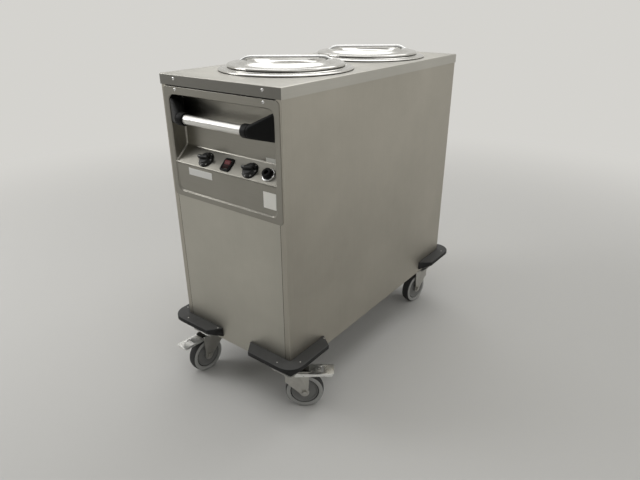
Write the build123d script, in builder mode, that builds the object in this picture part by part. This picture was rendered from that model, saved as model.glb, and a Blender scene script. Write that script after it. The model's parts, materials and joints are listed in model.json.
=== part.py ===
from build123d import *
import math
import os

# Mobile heated plate dispenser with two spring-levelling wells.
# Millimetres, +Z up, floor at z = 0. The instrument end faces -Y and +X is on the viewer's right.

# Overall sizes
top_width = 470.0
top_length = 1000.0
top_height = 1040.0
sheet = 1.5
body_bottom = 184.0
apron_height = 30.0
apron_overhang = 2.5
top_hole_radius = 172.0

# Body panels
return_width = 19.0
panel_seam = 0.5
panel_fold = 13.5
fold_radius = 3.0
side_fold_radius = 1.8
pan_lip = 15.0
pan_lip_gap = 1.0
air_slot_length = 130.0
air_slot_width = 8.0
air_slot_pitch = 22.0
air_slot_count = 5
cut_margin = 1.0

# Instrument panel and its recess
panel_width = 450.0
panel_top_drop = 34.6
panel_height = 332.0
panel_corner_radius = 12.0
opening_width = 410.0
opening_top_drop = 57.0
opening_height = 292.0
opening_corner_radius = 22.0
recess_depth = 50.0
console_drop = 258.5
console_rise = 43.5
recess_back_radius = 6.0
apron_face_set_back = 4.0
console_nose = 2.0
lower_panel_gap = 4.0

# Wells
well_pitch = 450.0
well_shift = 18.0
tube_inner_radius = 168.0
tube_flange_width = 27.0
slot_width = 28.0
slot_bottom = 230.0
slot_top = 765.0
slot_angles = [30.0, 150.0, 270.0]
collar_outer_radius = 206.0
collar_bore_radius = 163.0
collar_wall = 3.0
collar_depth = 28.0
collar_height = 8.0
collar_lip_width = 5.0
collar_lip_height = 5.0
collar_flat_width = 16.0
collar_rib_inset = 19.0
collar_rib_height = 7.0
collar_slope_inset = 17.0
collar_slope_height = 5.6
collar_slope_radius = 22.0
collar_edge_height = 2.4
gasket_height = 2.0
gasket_width = 24.0
gasket_inset = 3.0

# Lids
lid_radius = 180.0
lid_sheet = 1.5
lid_rim_height = 6.0
lid_rim_lift = 2.0
lid_rim_radius = 3.0
lid_lift_gap = 0.4
lid_spigot_radius = 172.0
lid_dish_radius = 100.0
lid_dish_edge_radius = 106.0
lid_dish_edge_height = 2.0
lid_crown_inner_radius = 118.0
lid_crown_radius = 127.0
lid_crown_outer_radius = 137.0
lid_crown_inner_drop = 3.0
lid_crown_outer_drop = 2.5
lid_step_radius = 150.0
lid_step_height = 8.5
lid_step_width = 5.0
lid_step_drop = 1.5
lid_slope_allowance = 0.2
lid_handle_span = 262.0
lid_handle_radius = 4.5
lid_handle_height = 35.0
lid_handle_turn = 38.0
lid_handle_reach = 14.0
lid_handle_splay = 3.0
lid_handle_drop = 11.5
lid_handle_bend = 6.5
lid_handle_seat = 2.0

# Carriages and springs
platform_radius = 157.0
platform_drop = 34.0
platform_rim = 12.0
platform_sheet = 2.0
platform_fold = 4.0
carriage_drop = 262.0
leg_circle = 110.0
leg_radius = 5.0
leg_sink = 1.0
spider_hub_radius = 34.0
arm_width = 20.0
arm_thickness = 5.0
arm_reach = 192.0
spring_circle = 183.0
spring_radius = 6.0
spring_offset = 8.5
spring_wall = 1.6
spring_hole_radius = 2.0
spring_seat_gap = 0.4

# Heater and terminal box
heater_radius = 105.0
heater_height = 26.0
heater_rod_radius = 4.25
heater_gap_angle = 12.0
heater_foot_width = 6.0
heater_foot_angle = 30.0
terminal_width = 130.0
terminal_length = 76.0
terminal_height = 48.0
terminal_corner_radius = 4.0
terminal_groove_inset = 4.0
terminal_groove_width = 2.0
terminal_groove_depth = 2.0

# Push handle
handle_radius = 14.0
handle_wall = 2.0
handle_drop = 117.0
handle_stand_off = 17.0
handle_half_length = 130.0
collar_start = 116.0
collar_end = 136.0
grip_collar_radius = 19.0
bracket_foot_height = 62.0
bracket_foot_depth = 42.0
bracket_foot_drop = 111.0
bracket_foot_thickness = 5.0
bracket_foot_radius = 12.0
bracket_foot_inset = 2.0
bracket_foot_draft = 1.0
bracket_waist_reach = 32.0
bracket_waist_depth = 36.0
bracket_waist_height = 44.0
bracket_waist_radius = 15.0
bracket_waist_back = 12.0
bracket_waist_rise = 5.0

# Console fittings
knob_spacing = 90.0
fitting_height_on_console = 29.0
knob_skirt_radius = 23.0
knob_skirt_height = 7.0
knob_skirt_edge = 3.15
knob_skirt_slope = 50.0
knob_body_radius = 16.0
knob_body_height = 10.0
knob_height = 21.0
knob_grip_length = 38.0
knob_grip_width = 9.0
knob_grip_turn = 8.0
knob_bore_depth = 12.6
knob_gap = 0.6
spindle_radius = 3.0
bush_radius = 5.0
bush_clearance = 0.08
thermostat_size = 38.0
thermostat_depth = 24.0
thermostat_corner_radius = 5.0
spindle_bore_depth = 14.4
spindle_end_gap = 0.5
rocker_bezel_width = 34.0
rocker_bezel_length = 38.0
rocker_bezel_height = 4.0
rocker_bezel_radius = 3.0
rocker_housing_wall = 2.0
rocker_housing_depth = 24.0
rocker_well_depth = 10.0
rocker_width = 22.0
rocker_length = 27.0
rocker_tilt = 8.0
rocker_gap = 0.6
rocker_end_gap = 1.0
rocker_end_rise = 6.0
rocker_end_drop = 1.0
rocker_middle_rise = 4.0
rocker_keel_width = 6.0
rocker_keel_drop = 6.0
gland_offset = 157.0
gland_radius = 13.0
gland_thread_radius = 11.0
gland_thread_length = 12.0
gland_ring_radius = 17.0
gland_height = 16.0
gland_ring_height = 3.0
gland_taper = 8.0
gland_bore_radius = 5.0
gland_floor = 4.0

# Bumpers
bumper_leg = 170.0
bumper_reach = 45.0
bumper_top = 230.0
bumper_height = 36.0
bumper_edge_height = 16.0
bumper_corner_radius = 52.0
bumper_end_chamfer = 33.0
bumper_top_radius = 4.0

# Chassis
chassis_inset = 36.0
chassis_rail_height = 20.0
chassis_rail_width = 50.0
chassis_wall = 3.0
chassis_pad = 4.0
castor_inset = 4.0
castor_pad_margin = 1.0

# Castors
wheel_radius = 62.5
tyre_depth = 16.0
tyre_width = 32.0
hub_width = 36.0
hub_radius = 15.0
castor_plate_width = 85.0
castor_plate_length = 105.0
castor_plate_sheet = 3.5
castor_plate_radius = 8.0
castor_slot_spacing_x = 60.0
castor_slot_spacing_y = 80.0
castor_slot_length = 13.0
castor_slot_width = 9.0
race_height = 7.0
race_margin = 1.0
race_draft = 12.0
race_gap = 0.4
castor_trail = 42.0
crown_radius = 28.0
crown_thickness = 5.0
fork_leg_width = 48.0
fork_leg_drop = 8.0
fork_leg_height = 14.0
fork_inner_width = 39.0
fork_sheet = 3.0
axle_radius = 6.0
bolt_head_radius = 9.5
bolt_head_height = 6.0
running_clearance = 0.05
hub_draft = 2.0
web_recess = 8.0
rim_land = 4.0
rim_slope = 3.0
rim_recess = 2.0
tread_half_flat = 5.0
tread_shoulder_drop = 1.5
tread_shoulder_inset = 5.0
tread_side_drop = 6.0

# Brake pedals
pedal_reach = 138.0
pedal_gap = 0.5
pedal_pivot_x = 16.0
pedal_pivot_drop = 14.0
pedal_eye_radius = 7.0
pedal_knee_x = 62.0
pedal_knee_radius = 5.0
pedal_tip_radius = 4.0
pedal_tip_inset = 8.0
pedal_bar_drop = 2.0
pedal_tyre_gap = 11.5
pedal_plate_start = 58.0
pedal_plate_sheet = 3.0
pedal_plate_radius = 8.0
pedal_slot_x = 100.0
pedal_slot_length = 34.0
pedal_slot_width = 10.0
brake_shoe_x = 64.0
brake_shoe_length = 8.0
brake_shoe_width = 24.0
brake_shoe_drop = 5.0

# Fasteners
screw_head_radius = 4.5
screw_head_height = 2.4
screw_head_draft = 35.0
screw_offset = 172.0
apron_screw_drop = 11.5
panel_screw_drop = 41.6

# Values worked out from the driving sizes
body_half_width = top_width / 2 - apron_overhang
body_half_length = top_length / 2 - apron_overhang
panel_top = top_height - sheet
front_face = -body_half_length
strip_edge = body_half_width - return_width
well_centres = {"front": well_shift - well_pitch / 2, "rear": well_shift + well_pitch / 2}
chassis_bottom = body_bottom - chassis_rail_height - chassis_pad
opening_top = top_height - opening_top_drop
opening_bottom = opening_top - opening_height
opening_middle = opening_top - opening_height / 2
panel_bottom = top_height - panel_top_drop - panel_height
panel_middle = panel_bottom + panel_height / 2
console_front = top_height - console_drop
console_back = console_front + console_rise
plate_face = front_face - sheet
recess_back = plate_face + recess_depth
slope = math.atan2(console_rise, recess_depth)
console_plane = Plane(
    origin=(0, plate_face, console_front),
    x_dir=(1, 0, 0),
    z_dir=(0, -console_rise, recess_depth),
)
fork_outer_half = fork_inner_width / 2 + fork_sheet
crown_top = chassis_bottom - castor_plate_sheet - race_height - race_gap
pan_half_width = body_half_width - sheet
pan_half_length = body_half_length - sheet
handle_y = plate_face - handle_stand_off
handle_z = top_height - handle_drop
knob_places = [(-knob_spacing, fitting_height_on_console), (knob_spacing, fitting_height_on_console)]
castor_x = body_half_width - castor_inset - castor_plate_width / 2
castor_y = body_half_length - castor_inset - castor_plate_length / 2
castors = {
    "front_right": (castor_x, -castor_y, 38.0, True),
    "front_left": (-castor_x, -castor_y, -94.0, True),
    "rear_right": (castor_x, castor_y, -97.0, False),
    "rear_left": (-castor_x, castor_y, -60.0, False),
}

os.makedirs("parts", exist_ok=True)


def save(part, name):
    """Labels a finished piece and writes it to its file."""
    part.label = name
    export_step(part, "parts/" + name + ".step")
    box = part.bounding_box()
    print(name, len(part.solids()), round(part.volume / 1000, 1), "cm3", box.size)


# Chassis frame: a ring of channel, open inward, with a welded pad above each castor
frame_half_width = body_half_width - chassis_inset
frame_half_length = body_half_length - chassis_inset
with BuildPart() as chassis_frame:
    with BuildSketch(Plane.XY.offset(body_bottom)):
        Rectangle(2 * frame_half_width, 2 * frame_half_length)
        Rectangle(
            2 * (frame_half_width - chassis_rail_width),
            2 * (frame_half_length - chassis_rail_width),
            mode=Mode.SUBTRACT,
        )
    extrude(amount=-chassis_rail_height)
    with BuildSketch(Plane.XY.offset(body_bottom - chassis_wall)):
        Rectangle(2 * (frame_half_width - chassis_wall), 2 * (frame_half_length - chassis_wall))
    extrude(amount=-chassis_rail_height + 2 * chassis_wall, mode=Mode.SUBTRACT)
    with BuildSketch(Plane.XY.offset(chassis_bottom)):
        with GridLocations(2 * castor_x, 2 * castor_y, 2, 2):
            RectangleRounded(
                castor_plate_width + 2 * castor_pad_margin,
                castor_plate_length + 2 * castor_pad_margin,
                castor_plate_radius,
            )
    extrude(amount=chassis_pad)
save(chassis_frame.part, "chassis_frame")


# Base pan: tray on the chassis with air slots under each well
with BuildPart() as base_pan:
    with BuildSketch(Plane.XY.offset(body_bottom)):
        Rectangle(2 * pan_half_width, 2 * pan_half_length)
    extrude(amount=pan_lip)
    with BuildSketch(Plane.XY.offset(body_bottom + sheet)):
        Rectangle(2 * (pan_half_width - sheet), 2 * (pan_half_length - sheet))
    extrude(amount=pan_lip, mode=Mode.SUBTRACT)
    with BuildSketch(Plane.XY.offset(body_bottom)):
        for centre in well_centres.values():
            with Locations((0, centre)):
                with GridLocations(0, air_slot_pitch, 1, air_slot_count):
                    SlotOverall(air_slot_length, air_slot_width)
    extrude(amount=sheet, mode=Mode.SUBTRACT)
save(base_pan.part, "base_pan")


def side_panel(side):
    """One side wall with the narrow strips folded in at the front and the rear."""
    with BuildPart() as panel:
        with BuildSketch(Plane.XY.offset(body_bottom)):
            with BuildLine():
                outline = Polyline(
                    (side * strip_edge, -body_half_length + sheet / 2),
                    (side * (body_half_width - sheet / 2), -body_half_length + sheet / 2),
                    (side * (body_half_width - sheet / 2), body_half_length - sheet / 2),
                    (side * strip_edge, body_half_length - sheet / 2),
                )
            trace(outline, line_width=sheet)
        extrude(amount=panel_top - body_bottom)
        corners = panel.edges().filter_by(Axis.Z).filter_by(
            lambda edge: abs(abs(edge.center().X) - body_half_width) < 0.1
        )
        fillet(corners, radius=side_fold_radius)
    return panel.part


save(side_panel(1), "side_panel_right")
save(side_panel(-1), "side_panel_left")


def end_panel(side, top):
    """End sheet between the return strips; its long edges are folded inward above the pan's lip."""
    edge = strip_edge - panel_seam
    outer = side * body_half_length
    inner = side * (body_half_length - sheet)
    fold = side * (body_half_length - panel_fold)
    with BuildPart() as panel:
        with BuildSketch(Plane.XY.offset(body_bottom)):
            with BuildLine():
                Polyline(
                    (-edge, outer),
                    (edge, outer),
                    (edge, fold),
                    (edge - sheet, fold),
                    (edge - sheet, inner),
                    (-edge + sheet, inner),
                    (-edge + sheet, fold),
                    (-edge, fold),
                    close=True,
                )
            make_face()
        extrude(amount=top - body_bottom)
        with BuildSketch(Plane.XY.offset(body_bottom)):
            Rectangle(2 * pan_half_width, 2 * pan_half_length)
        extrude(amount=pan_lip + pan_lip_gap, mode=Mode.SUBTRACT)
    return panel.part


save(end_panel(-1, opening_bottom - sheet - lower_panel_gap), "lower_front_panel")
save(end_panel(1, panel_top), "rear_panel")


def recess_block(grow):
    """The recess as a block with the opening's rounded corners, grown by the sheet for its outside."""
    front = plate_face - cut_margin + grow
    with BuildPart() as block:
        with BuildSketch(Plane.YZ.offset(-opening_width / 2 - grow)):
            with BuildLine():
                Polyline(
                    (front, opening_top + grow),
                    (recess_back + grow, opening_top + grow),
                    (recess_back + grow, console_back - grow * (1 - math.sin(slope)) / math.cos(slope)),
                    (plate_face + grow * (1 - math.cos(slope)) / math.sin(slope), console_front - grow),
                    (plate_face + apron_face_set_back + grow, console_front - console_nose - grow),
                    (plate_face + apron_face_set_back + grow, opening_bottom - grow),
                    (front, opening_bottom - grow),
                    close=True,
                )
            make_face()
        extrude(amount=opening_width + 2 * grow)
        with BuildSketch(Plane.XZ.offset(-plate_face + 2 * cut_margin)):
            with Locations((0, opening_middle)):
                RectangleRounded(
                    opening_width + 2 * grow, opening_height + 2 * grow, opening_corner_radius + grow
                )
        extrude(amount=-recess_depth - grow - 4 * cut_margin, mode=Mode.INTERSECT)
        back = block.faces().sort_by(Axis.Y)[-1]
        fillet(back.edges(), radius=recess_back_radius + grow)
    return block.part


# Instrument panel: deep-drawn sheet with the recess, the console and holes for the fittings
recess_outside = recess_block(sheet)
recess_inside = recess_block(0.0)
with BuildPart() as control_panel:
    with BuildSketch(Plane.XZ.offset(-front_face)):
        with Locations((0, panel_middle)):
            RectangleRounded(panel_width, panel_height, panel_corner_radius)
    extrude(amount=sheet)
    add(recess_outside)
    add(recess_inside, mode=Mode.SUBTRACT)
    with BuildSketch(console_plane.offset(sheet * 2)):
        with Locations(*knob_places):
            Circle(bush_radius)
        with Locations((0, fitting_height_on_console)):
            Rectangle(rocker_width + 2 * rocker_housing_wall, rocker_length + 2 * rocker_housing_wall)
        with Locations((gland_offset, fitting_height_on_console)):
            Circle(gland_thread_radius)
    extrude(amount=-sheet * 4, mode=Mode.SUBTRACT)
save(control_panel.part, "control_panel")


# Top plate with its folded apron and the two well cut-outs
with BuildPart() as top_plate:
    with BuildSketch(Plane.XY.offset(top_height)):
        RectangleRounded(top_width, top_length, fold_radius)
    extrude(amount=-apron_height)
    with BuildSketch(Plane.XY.offset(top_height - sheet)):
        Rectangle(top_width - 2 * sheet, top_length - 2 * sheet)
    extrude(amount=-apron_height, mode=Mode.SUBTRACT)
    with BuildSketch(Plane.XY.offset(top_height)):
        for centre in well_centres.values():
            with Locations((0, centre)):
                Circle(top_hole_radius)
    extrude(amount=-sheet, mode=Mode.SUBTRACT)
save(top_plate.part, "top_plate")


# Gaskets under the two collars
with BuildPart() as collar_gaskets:
    with BuildSketch(Plane.XY.offset(top_height)):
        for centre in well_centres.values():
            with Locations((0, centre)):
                Circle(collar_outer_radius - gasket_inset)
                Circle(collar_outer_radius - gasket_inset - gasket_width, mode=Mode.SUBTRACT)
    extrude(amount=gasket_height)
save(collar_gaskets.part, "collar_gaskets")


def well_plane(centre):
    """Upright plane through a well's axis, in which its round pieces are drawn."""
    return Plane(origin=(0, centre, 0), x_dir=(1, 0, 0), z_dir=(0, -1, 0))


def collar_ring(centre):
    """Round frame of a well: a skirt down into the tube and a ribbed flange outside."""
    base = top_height + gasket_height
    slope_top = (collar_outer_radius - collar_slope_inset, base + collar_slope_height)
    slope_end = (collar_outer_radius, base + collar_edge_height)
    with BuildPart() as ring:
        with BuildSketch(well_plane(centre)):
            with BuildLine():
                Polyline(
                    (collar_bore_radius, top_height - collar_depth),
                    (collar_bore_radius, base + collar_lip_height),
                    (collar_bore_radius + collar_lip_width, base + collar_height),
                    (collar_bore_radius + collar_flat_width, base + collar_height),
                    (collar_outer_radius - collar_rib_inset, base + collar_rib_height),
                    slope_top,
                )
                RadiusArc(slope_top, slope_end, -collar_slope_radius)
                Polyline(
                    slope_end,
                    (collar_outer_radius, base),
                    (collar_bore_radius + collar_wall, base),
                    (collar_bore_radius + collar_wall, top_height - collar_depth),
                    (collar_bore_radius, top_height - collar_depth),
                )
            make_face()
        revolve(axis=Axis((0, centre, 0), (0, 0, 1)))
    return ring.part


def guide_tube(centre):
    """Sheet-steel tube with a top flange and three slots for the carriage arms."""
    outer = tube_inner_radius + sheet
    with BuildPart() as tube:
        with BuildSketch(Plane.XY.offset(body_bottom + sheet)):
            with Locations((0, centre)):
                Circle(outer)
                Circle(tube_inner_radius, mode=Mode.SUBTRACT)
        extrude(amount=panel_top - body_bottom - sheet)
        with BuildSketch(Plane.XY.offset(panel_top)):
            with Locations((0, centre)):
                Circle(tube_inner_radius + tube_flange_width)
                Circle(tube_inner_radius, mode=Mode.SUBTRACT)
        extrude(amount=-sheet)
        for angle in slot_angles:
            turn = Plane(
                origin=(0, centre, (slot_bottom + slot_top) / 2),
                x_dir=(-math.sin(math.radians(angle)), math.cos(math.radians(angle)), 0),
                z_dir=(math.cos(math.radians(angle)), math.sin(math.radians(angle)), 0),
            )
            with BuildSketch(turn):
                Rectangle(slot_width, slot_top - slot_bottom)
            extrude(amount=outer + cut_margin, mode=Mode.SUBTRACT)
    return tube.part


def heater_loop(centre):
    """Tubular heater: an open loop above the base pan with its two ends turned down and two feet."""
    height = body_bottom + sheet + heater_height
    gap = math.radians(heater_gap_angle)
    foot = math.radians(heater_foot_angle)
    start = (heater_radius * math.sin(gap), centre + heater_radius * math.cos(gap))
    end = (-start[0], start[1])
    feet_x = heater_radius * math.cos(foot)
    feet_y = centre - heater_radius * math.sin(foot)
    with BuildPart() as loop:
        with BuildLine():
            ThreePointArc(
                (start[0], start[1], height), (0, centre - heater_radius, height), (end[0], end[1], height)
            )
        with BuildSketch(Plane(origin=(start[0], start[1], height), z_dir=(-math.cos(gap), math.sin(gap), 0))):
            Circle(heater_rod_radius)
        sweep()
        with BuildSketch(Plane.XY.offset(body_bottom + sheet)):
            with Locations(start, end):
                Circle(heater_rod_radius)
            with Locations((feet_x, feet_y), (-feet_x, feet_y)):
                Rectangle(heater_foot_width, heater_foot_width)
        extrude(amount=heater_height)
    return loop.part


def carriage_arm_plane(centre, height, angle):
    """Level plane at the well's axis with its X along a carriage arm."""
    return Plane(
        origin=(0, centre, height),
        x_dir=(math.cos(math.radians(angle)), math.sin(math.radians(angle)), 0),
        z_dir=(0, 0, 1),
    )


def plate_platform(centre):
    """Round plate carrier: a shallow inverted dish with a turned-down rim."""
    top = top_height - platform_drop
    fold_inside = platform_fold + platform_sheet * math.tan(math.radians(22.5))
    with BuildPart() as platform:
        with BuildSketch(well_plane(centre)):
            with BuildLine():
                Polyline(
                    (0, top),
                    (platform_radius - platform_fold, top),
                    (platform_radius, top - platform_fold),
                    (platform_radius, top - platform_rim),
                    (platform_radius - platform_sheet, top - platform_rim),
                    (platform_radius - platform_sheet, top - fold_inside),
                    (platform_radius - fold_inside, top - platform_sheet),
                    (0, top - platform_sheet),
                    close=True,
                )
            make_face()
        revolve(axis=Axis((0, centre, 0), (0, 0, 1)))
    return platform.part


def carriage(centre):
    """Three legs under the platform and a three-armed spider whose ends carry the springs."""
    top = top_height - platform_drop - platform_sheet
    spider = top_height - platform_drop - carriage_drop
    with BuildPart() as frame:
        for angle in slot_angles:
            with BuildSketch(carriage_arm_plane(centre, spider - arm_thickness, angle)):
                with Locations((arm_reach / 2, 0)):
                    Rectangle(arm_reach, arm_width)
                with Locations((spring_circle, spring_offset), (spring_circle, -spring_offset)):
                    Circle(spring_hole_radius, mode=Mode.SUBTRACT)
            extrude(amount=arm_thickness)
        with BuildSketch(Plane.XY.offset(spider - arm_thickness)):
            with Locations((0, centre)):
                Circle(spider_hub_radius)
        extrude(amount=arm_thickness)
        with BuildSketch(Plane.XY.offset(spider - leg_sink)):
            with Locations((0, centre)):
                with PolarLocations(leg_circle, 3, start_angle=slot_angles[0]):
                    Circle(leg_radius)
        extrude(amount=top - spider + leg_sink)
    return frame.part


def lift_springs(centre):
    """Three pairs of extension springs from the tube's flange down to the spider's arms."""
    low = top_height - platform_drop - carriage_drop + spring_seat_gap
    high = panel_top - sheet
    with BuildPart() as springs:
        for angle in slot_angles:
            with BuildSketch(carriage_arm_plane(centre, low, angle)):
                with Locations((spring_circle, spring_offset), (spring_circle, -spring_offset)):
                    Circle(spring_radius)
                    Circle(spring_radius - spring_wall, mode=Mode.SUBTRACT)
            extrude(amount=high - low)
    return springs.part


def lid_shell(centre):
    """Pressed lid: rolled rim, short flank and a dished middle that leaves room for fingers."""
    seat = top_height + gasket_height + collar_height + lid_lift_gap
    rim = seat + lid_rim_lift
    rim_top = rim + lid_rim_height
    floor = seat + lid_sheet
    crown = top_height + lid_handle_height - lid_handle_radius - lid_handle_seat
    crown_inner = crown - lid_crown_inner_drop
    crown_outer = crown - lid_crown_outer_drop
    step = rim + lid_step_height
    step_outer = lid_step_radius + lid_step_width
    shoulder = (lid_radius - lid_rim_radius, rim_top)
    edge = (lid_radius, rim_top - lid_rim_radius)
    under = lid_sheet - lid_slope_allowance
    with BuildPart() as shell:
        with BuildSketch(well_plane(centre)):
            with BuildLine():
                Polyline(
                    (0, floor),
                    (lid_dish_radius, floor),
                    (lid_dish_edge_radius, floor + lid_dish_edge_height),
                    (lid_crown_inner_radius, crown_inner),
                )
                ThreePointArc(
                    (lid_crown_inner_radius, crown_inner),
                    (lid_crown_radius, crown),
                    (lid_crown_outer_radius, crown_outer),
                )
                Polyline(
                    (lid_crown_outer_radius, crown_outer),
                    (lid_step_radius, step),
                    (step_outer, step - lid_step_drop),
                    shoulder,
                )
                RadiusArc(shoulder, edge, -lid_rim_radius)
                Polyline(
                    edge,
                    (lid_radius, rim),
                    (lid_radius - lid_sheet, rim),
                    (lid_radius - lid_sheet, rim_top - lid_rim_radius),
                    (lid_radius - lid_rim_radius, rim_top - lid_sheet),
                    (lid_spigot_radius, rim_top - under),
                    (lid_spigot_radius, seat),
                    (lid_spigot_radius - lid_sheet, seat),
                    (lid_spigot_radius - lid_sheet, rim_top - under + lid_slope_allowance / 2),
                    (step_outer, step - lid_step_drop - lid_sheet),
                    (lid_step_radius - lid_sheet / 3, step - lid_sheet),
                    (lid_crown_outer_radius - lid_sheet / 3, crown_outer - lid_sheet),
                )
                ThreePointArc(
                    (lid_crown_outer_radius - lid_sheet / 3, crown_outer - lid_sheet),
                    (lid_crown_radius, crown - lid_sheet),
                    (lid_crown_inner_radius + 2 * lid_sheet / 3, crown_inner - lid_sheet),
                )
                Polyline(
                    (lid_crown_inner_radius + 2 * lid_sheet / 3, crown_inner - lid_sheet),
                    (lid_dish_edge_radius + 2 * lid_sheet / 3, floor + lid_dish_edge_height - lid_sheet),
                    (lid_dish_radius + lid_sheet / 3, floor - lid_sheet),
                    (0, floor - lid_sheet),
                    (0, floor),
                )
            make_face()
        revolve(axis=Axis((0, centre, 0), (0, 0, 1)))
    return shell.part


def lid_handle(centre):
    """Bar across the dished middle, its ends bent down onto the flank."""
    half = lid_handle_span / 2
    height = top_height + lid_handle_height
    bend_x = half + lid_handle_reach - lid_handle_splay
    foot_x = half + lid_handle_reach
    foot_z = height - lid_handle_drop
    turn = math.radians(lid_handle_turn)
    upright = Plane(
        origin=(0, centre, 0),
        x_dir=(math.cos(turn), math.sin(turn), 0),
        z_dir=(math.sin(turn), -math.cos(turn), 0),
    )
    with BuildPart() as handle:
        with BuildLine(upright):
            FilletPolyline(
                (-foot_x, foot_z),
                (-bend_x, height),
                (bend_x, height),
                (foot_x, foot_z),
                radius=lid_handle_bend,
            )
        foot = upright.from_local_coords((-foot_x, foot_z, 0))
        ahead = upright.from_local_coords((-bend_x, height, 0))
        with BuildSketch(Plane(origin=foot, z_dir=ahead - foot)):
            Circle(lid_handle_radius)
        sweep()
    return handle.part


for place, centre in well_centres.items():
    save(collar_ring(centre), "collar_ring_" + place)
    save(guide_tube(centre), "guide_tube_" + place)
    save(plate_platform(centre), "plate_platform_" + place)
    save(carriage(centre), "carriage_" + place)
    save(lift_springs(centre), "lift_springs_" + place)
    save(lid_shell(centre), "lid_shell_" + place)
    save(lid_handle(centre), "lid_handle_" + place)


heater_front = heater_loop(well_centres["front"])
heater_rear = heater_loop(well_centres["rear"])
with BuildPart() as heater_elements:
    add(heater_front)
    add(heater_rear)
save(heater_elements.part, "heater_elements")


# Terminal box between the two tubes
with BuildPart() as terminal_box:
    with BuildSketch(Plane.XY.offset(body_bottom + sheet)):
        with Locations((0, well_shift)):
            RectangleRounded(terminal_width, terminal_length, terminal_corner_radius)
    extrude(amount=terminal_height)
    with BuildSketch(Plane.XY.offset(body_bottom + sheet + terminal_height)):
        with Locations((0, well_shift)):
            Rectangle(terminal_width - 2 * terminal_groove_inset, terminal_length - 2 * terminal_groove_inset)
            Rectangle(
                terminal_width - 2 * terminal_groove_inset - 2 * terminal_groove_width,
                terminal_length - 2 * terminal_groove_inset - 2 * terminal_groove_width,
                mode=Mode.SUBTRACT,
            )
    extrude(amount=-terminal_groove_depth, mode=Mode.SUBTRACT)
save(terminal_box.part, "terminal_box")


# Push handle across the recess
with BuildPart() as handle_tube:
    with BuildSketch(Plane.YZ.offset(-handle_half_length)):
        with Locations((handle_y, handle_z)):
            Circle(handle_radius)
            Circle(handle_radius - handle_wall, mode=Mode.SUBTRACT)
    extrude(amount=2 * handle_half_length)
save(handle_tube.part, "handle_tube")


def handle_bracket(side):
    """Moulded end bracket: a foot on the recess's side wall that flares from the round collar."""
    foot_y = plate_face + bracket_foot_inset + bracket_foot_depth / 2
    foot_z = top_height - bracket_foot_drop
    foot_x = opening_width / 2
    with BuildPart() as bracket:
        with BuildSketch(Plane.YZ.offset(side * foot_x)):
            with Locations((foot_y, foot_z)):
                RectangleRounded(bracket_foot_depth, bracket_foot_height, bracket_foot_radius)
        with BuildSketch(Plane.YZ.offset(side * (foot_x - bracket_foot_thickness))) as foot_top:
            with Locations((foot_y, foot_z)):
                RectangleRounded(
                    bracket_foot_depth - bracket_foot_draft,
                    bracket_foot_height - 2 * bracket_foot_draft,
                    bracket_foot_radius,
                )
        loft()
        add(foot_top.sketch)
        with BuildSketch(Plane.YZ.offset(side * (foot_x - bracket_waist_reach))):
            with Locations((handle_y + bracket_waist_back, handle_z + bracket_waist_rise)):
                RectangleRounded(bracket_waist_depth, bracket_waist_height, bracket_waist_radius)
        with BuildSketch(Plane.YZ.offset(side * collar_end)):
            with Locations((handle_y, handle_z)):
                RectangleRounded(2 * grip_collar_radius, 2 * grip_collar_radius, grip_collar_radius - 0.5)
        loft()
        with BuildSketch(Plane.YZ.offset(side * collar_end)):
            with Locations((handle_y, handle_z)):
                Circle(grip_collar_radius)
        extrude(amount=-side * (collar_end - collar_start))
        with BuildSketch(Plane.YZ.offset(side * handle_half_length)):
            with Locations((handle_y, handle_z)):
                Circle(handle_radius)
        extrude(amount=-side * (handle_half_length - collar_start), mode=Mode.SUBTRACT)
    return bracket.part


save(handle_bracket(1), "handle_bracket_right")
save(handle_bracket(-1), "handle_bracket_left")


# Thermostats behind the console, with threaded bushes that carry the knob spindles
with BuildPart() as thermostats:
    with BuildSketch(console_plane.offset(-sheet)):
        with Locations(*knob_places):
            RectangleRounded(thermostat_size, thermostat_size, thermostat_corner_radius)
    extrude(amount=-thermostat_depth)
    with BuildSketch(console_plane.offset(-sheet)):
        with Locations(*knob_places):
            Circle(bush_radius)
    extrude(amount=sheet)
    with BuildSketch(console_plane):
        with Locations(*knob_places):
            Circle(spindle_radius + bush_clearance)
    extrude(amount=-sheet - spindle_bore_depth, mode=Mode.SUBTRACT)
save(thermostats.part, "thermostats")


def knob(offset_x):
    """Rotary knob: a sloped skirt, a round body and a raised grip with its pointer end."""
    with BuildPart() as control_knob:
        with BuildSketch(console_plane.offset(knob_gap)):
            with Locations((offset_x, fitting_height_on_console)):
                Circle(knob_skirt_radius)
        extrude(amount=knob_skirt_edge)
        with BuildSketch(console_plane.offset(knob_gap + knob_skirt_edge)):
            with Locations((offset_x, fitting_height_on_console)):
                Circle(knob_skirt_radius)
        extrude(amount=knob_skirt_height - knob_skirt_edge, taper=knob_skirt_slope)
        with BuildSketch(console_plane.offset(knob_gap)):
            with Locations((offset_x, fitting_height_on_console)):
                Circle(knob_body_radius)
        extrude(amount=knob_body_height)
        with BuildSketch(console_plane.offset(knob_gap)):
            with Locations((offset_x, fitting_height_on_console)):
                SlotOverall(knob_grip_length, knob_grip_width, rotation=knob_grip_turn)
        extrude(amount=knob_height)
        with BuildSketch(console_plane.offset(knob_gap)):
            with Locations((offset_x, fitting_height_on_console)):
                Circle(spindle_radius)
        extrude(amount=knob_bore_depth, mode=Mode.SUBTRACT)
    return control_knob.part


def knob_spindle(offset_x):
    """Spindle from inside the thermostat up into the knob."""
    spindle_depth = sheet + spindle_bore_depth - spindle_end_gap
    with BuildPart() as spindle:
        with BuildSketch(console_plane.offset(-spindle_depth)):
            with Locations((offset_x, fitting_height_on_console)):
                Circle(spindle_radius)
        extrude(amount=spindle_depth + knob_gap + knob_bore_depth)
    return spindle.part


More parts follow.
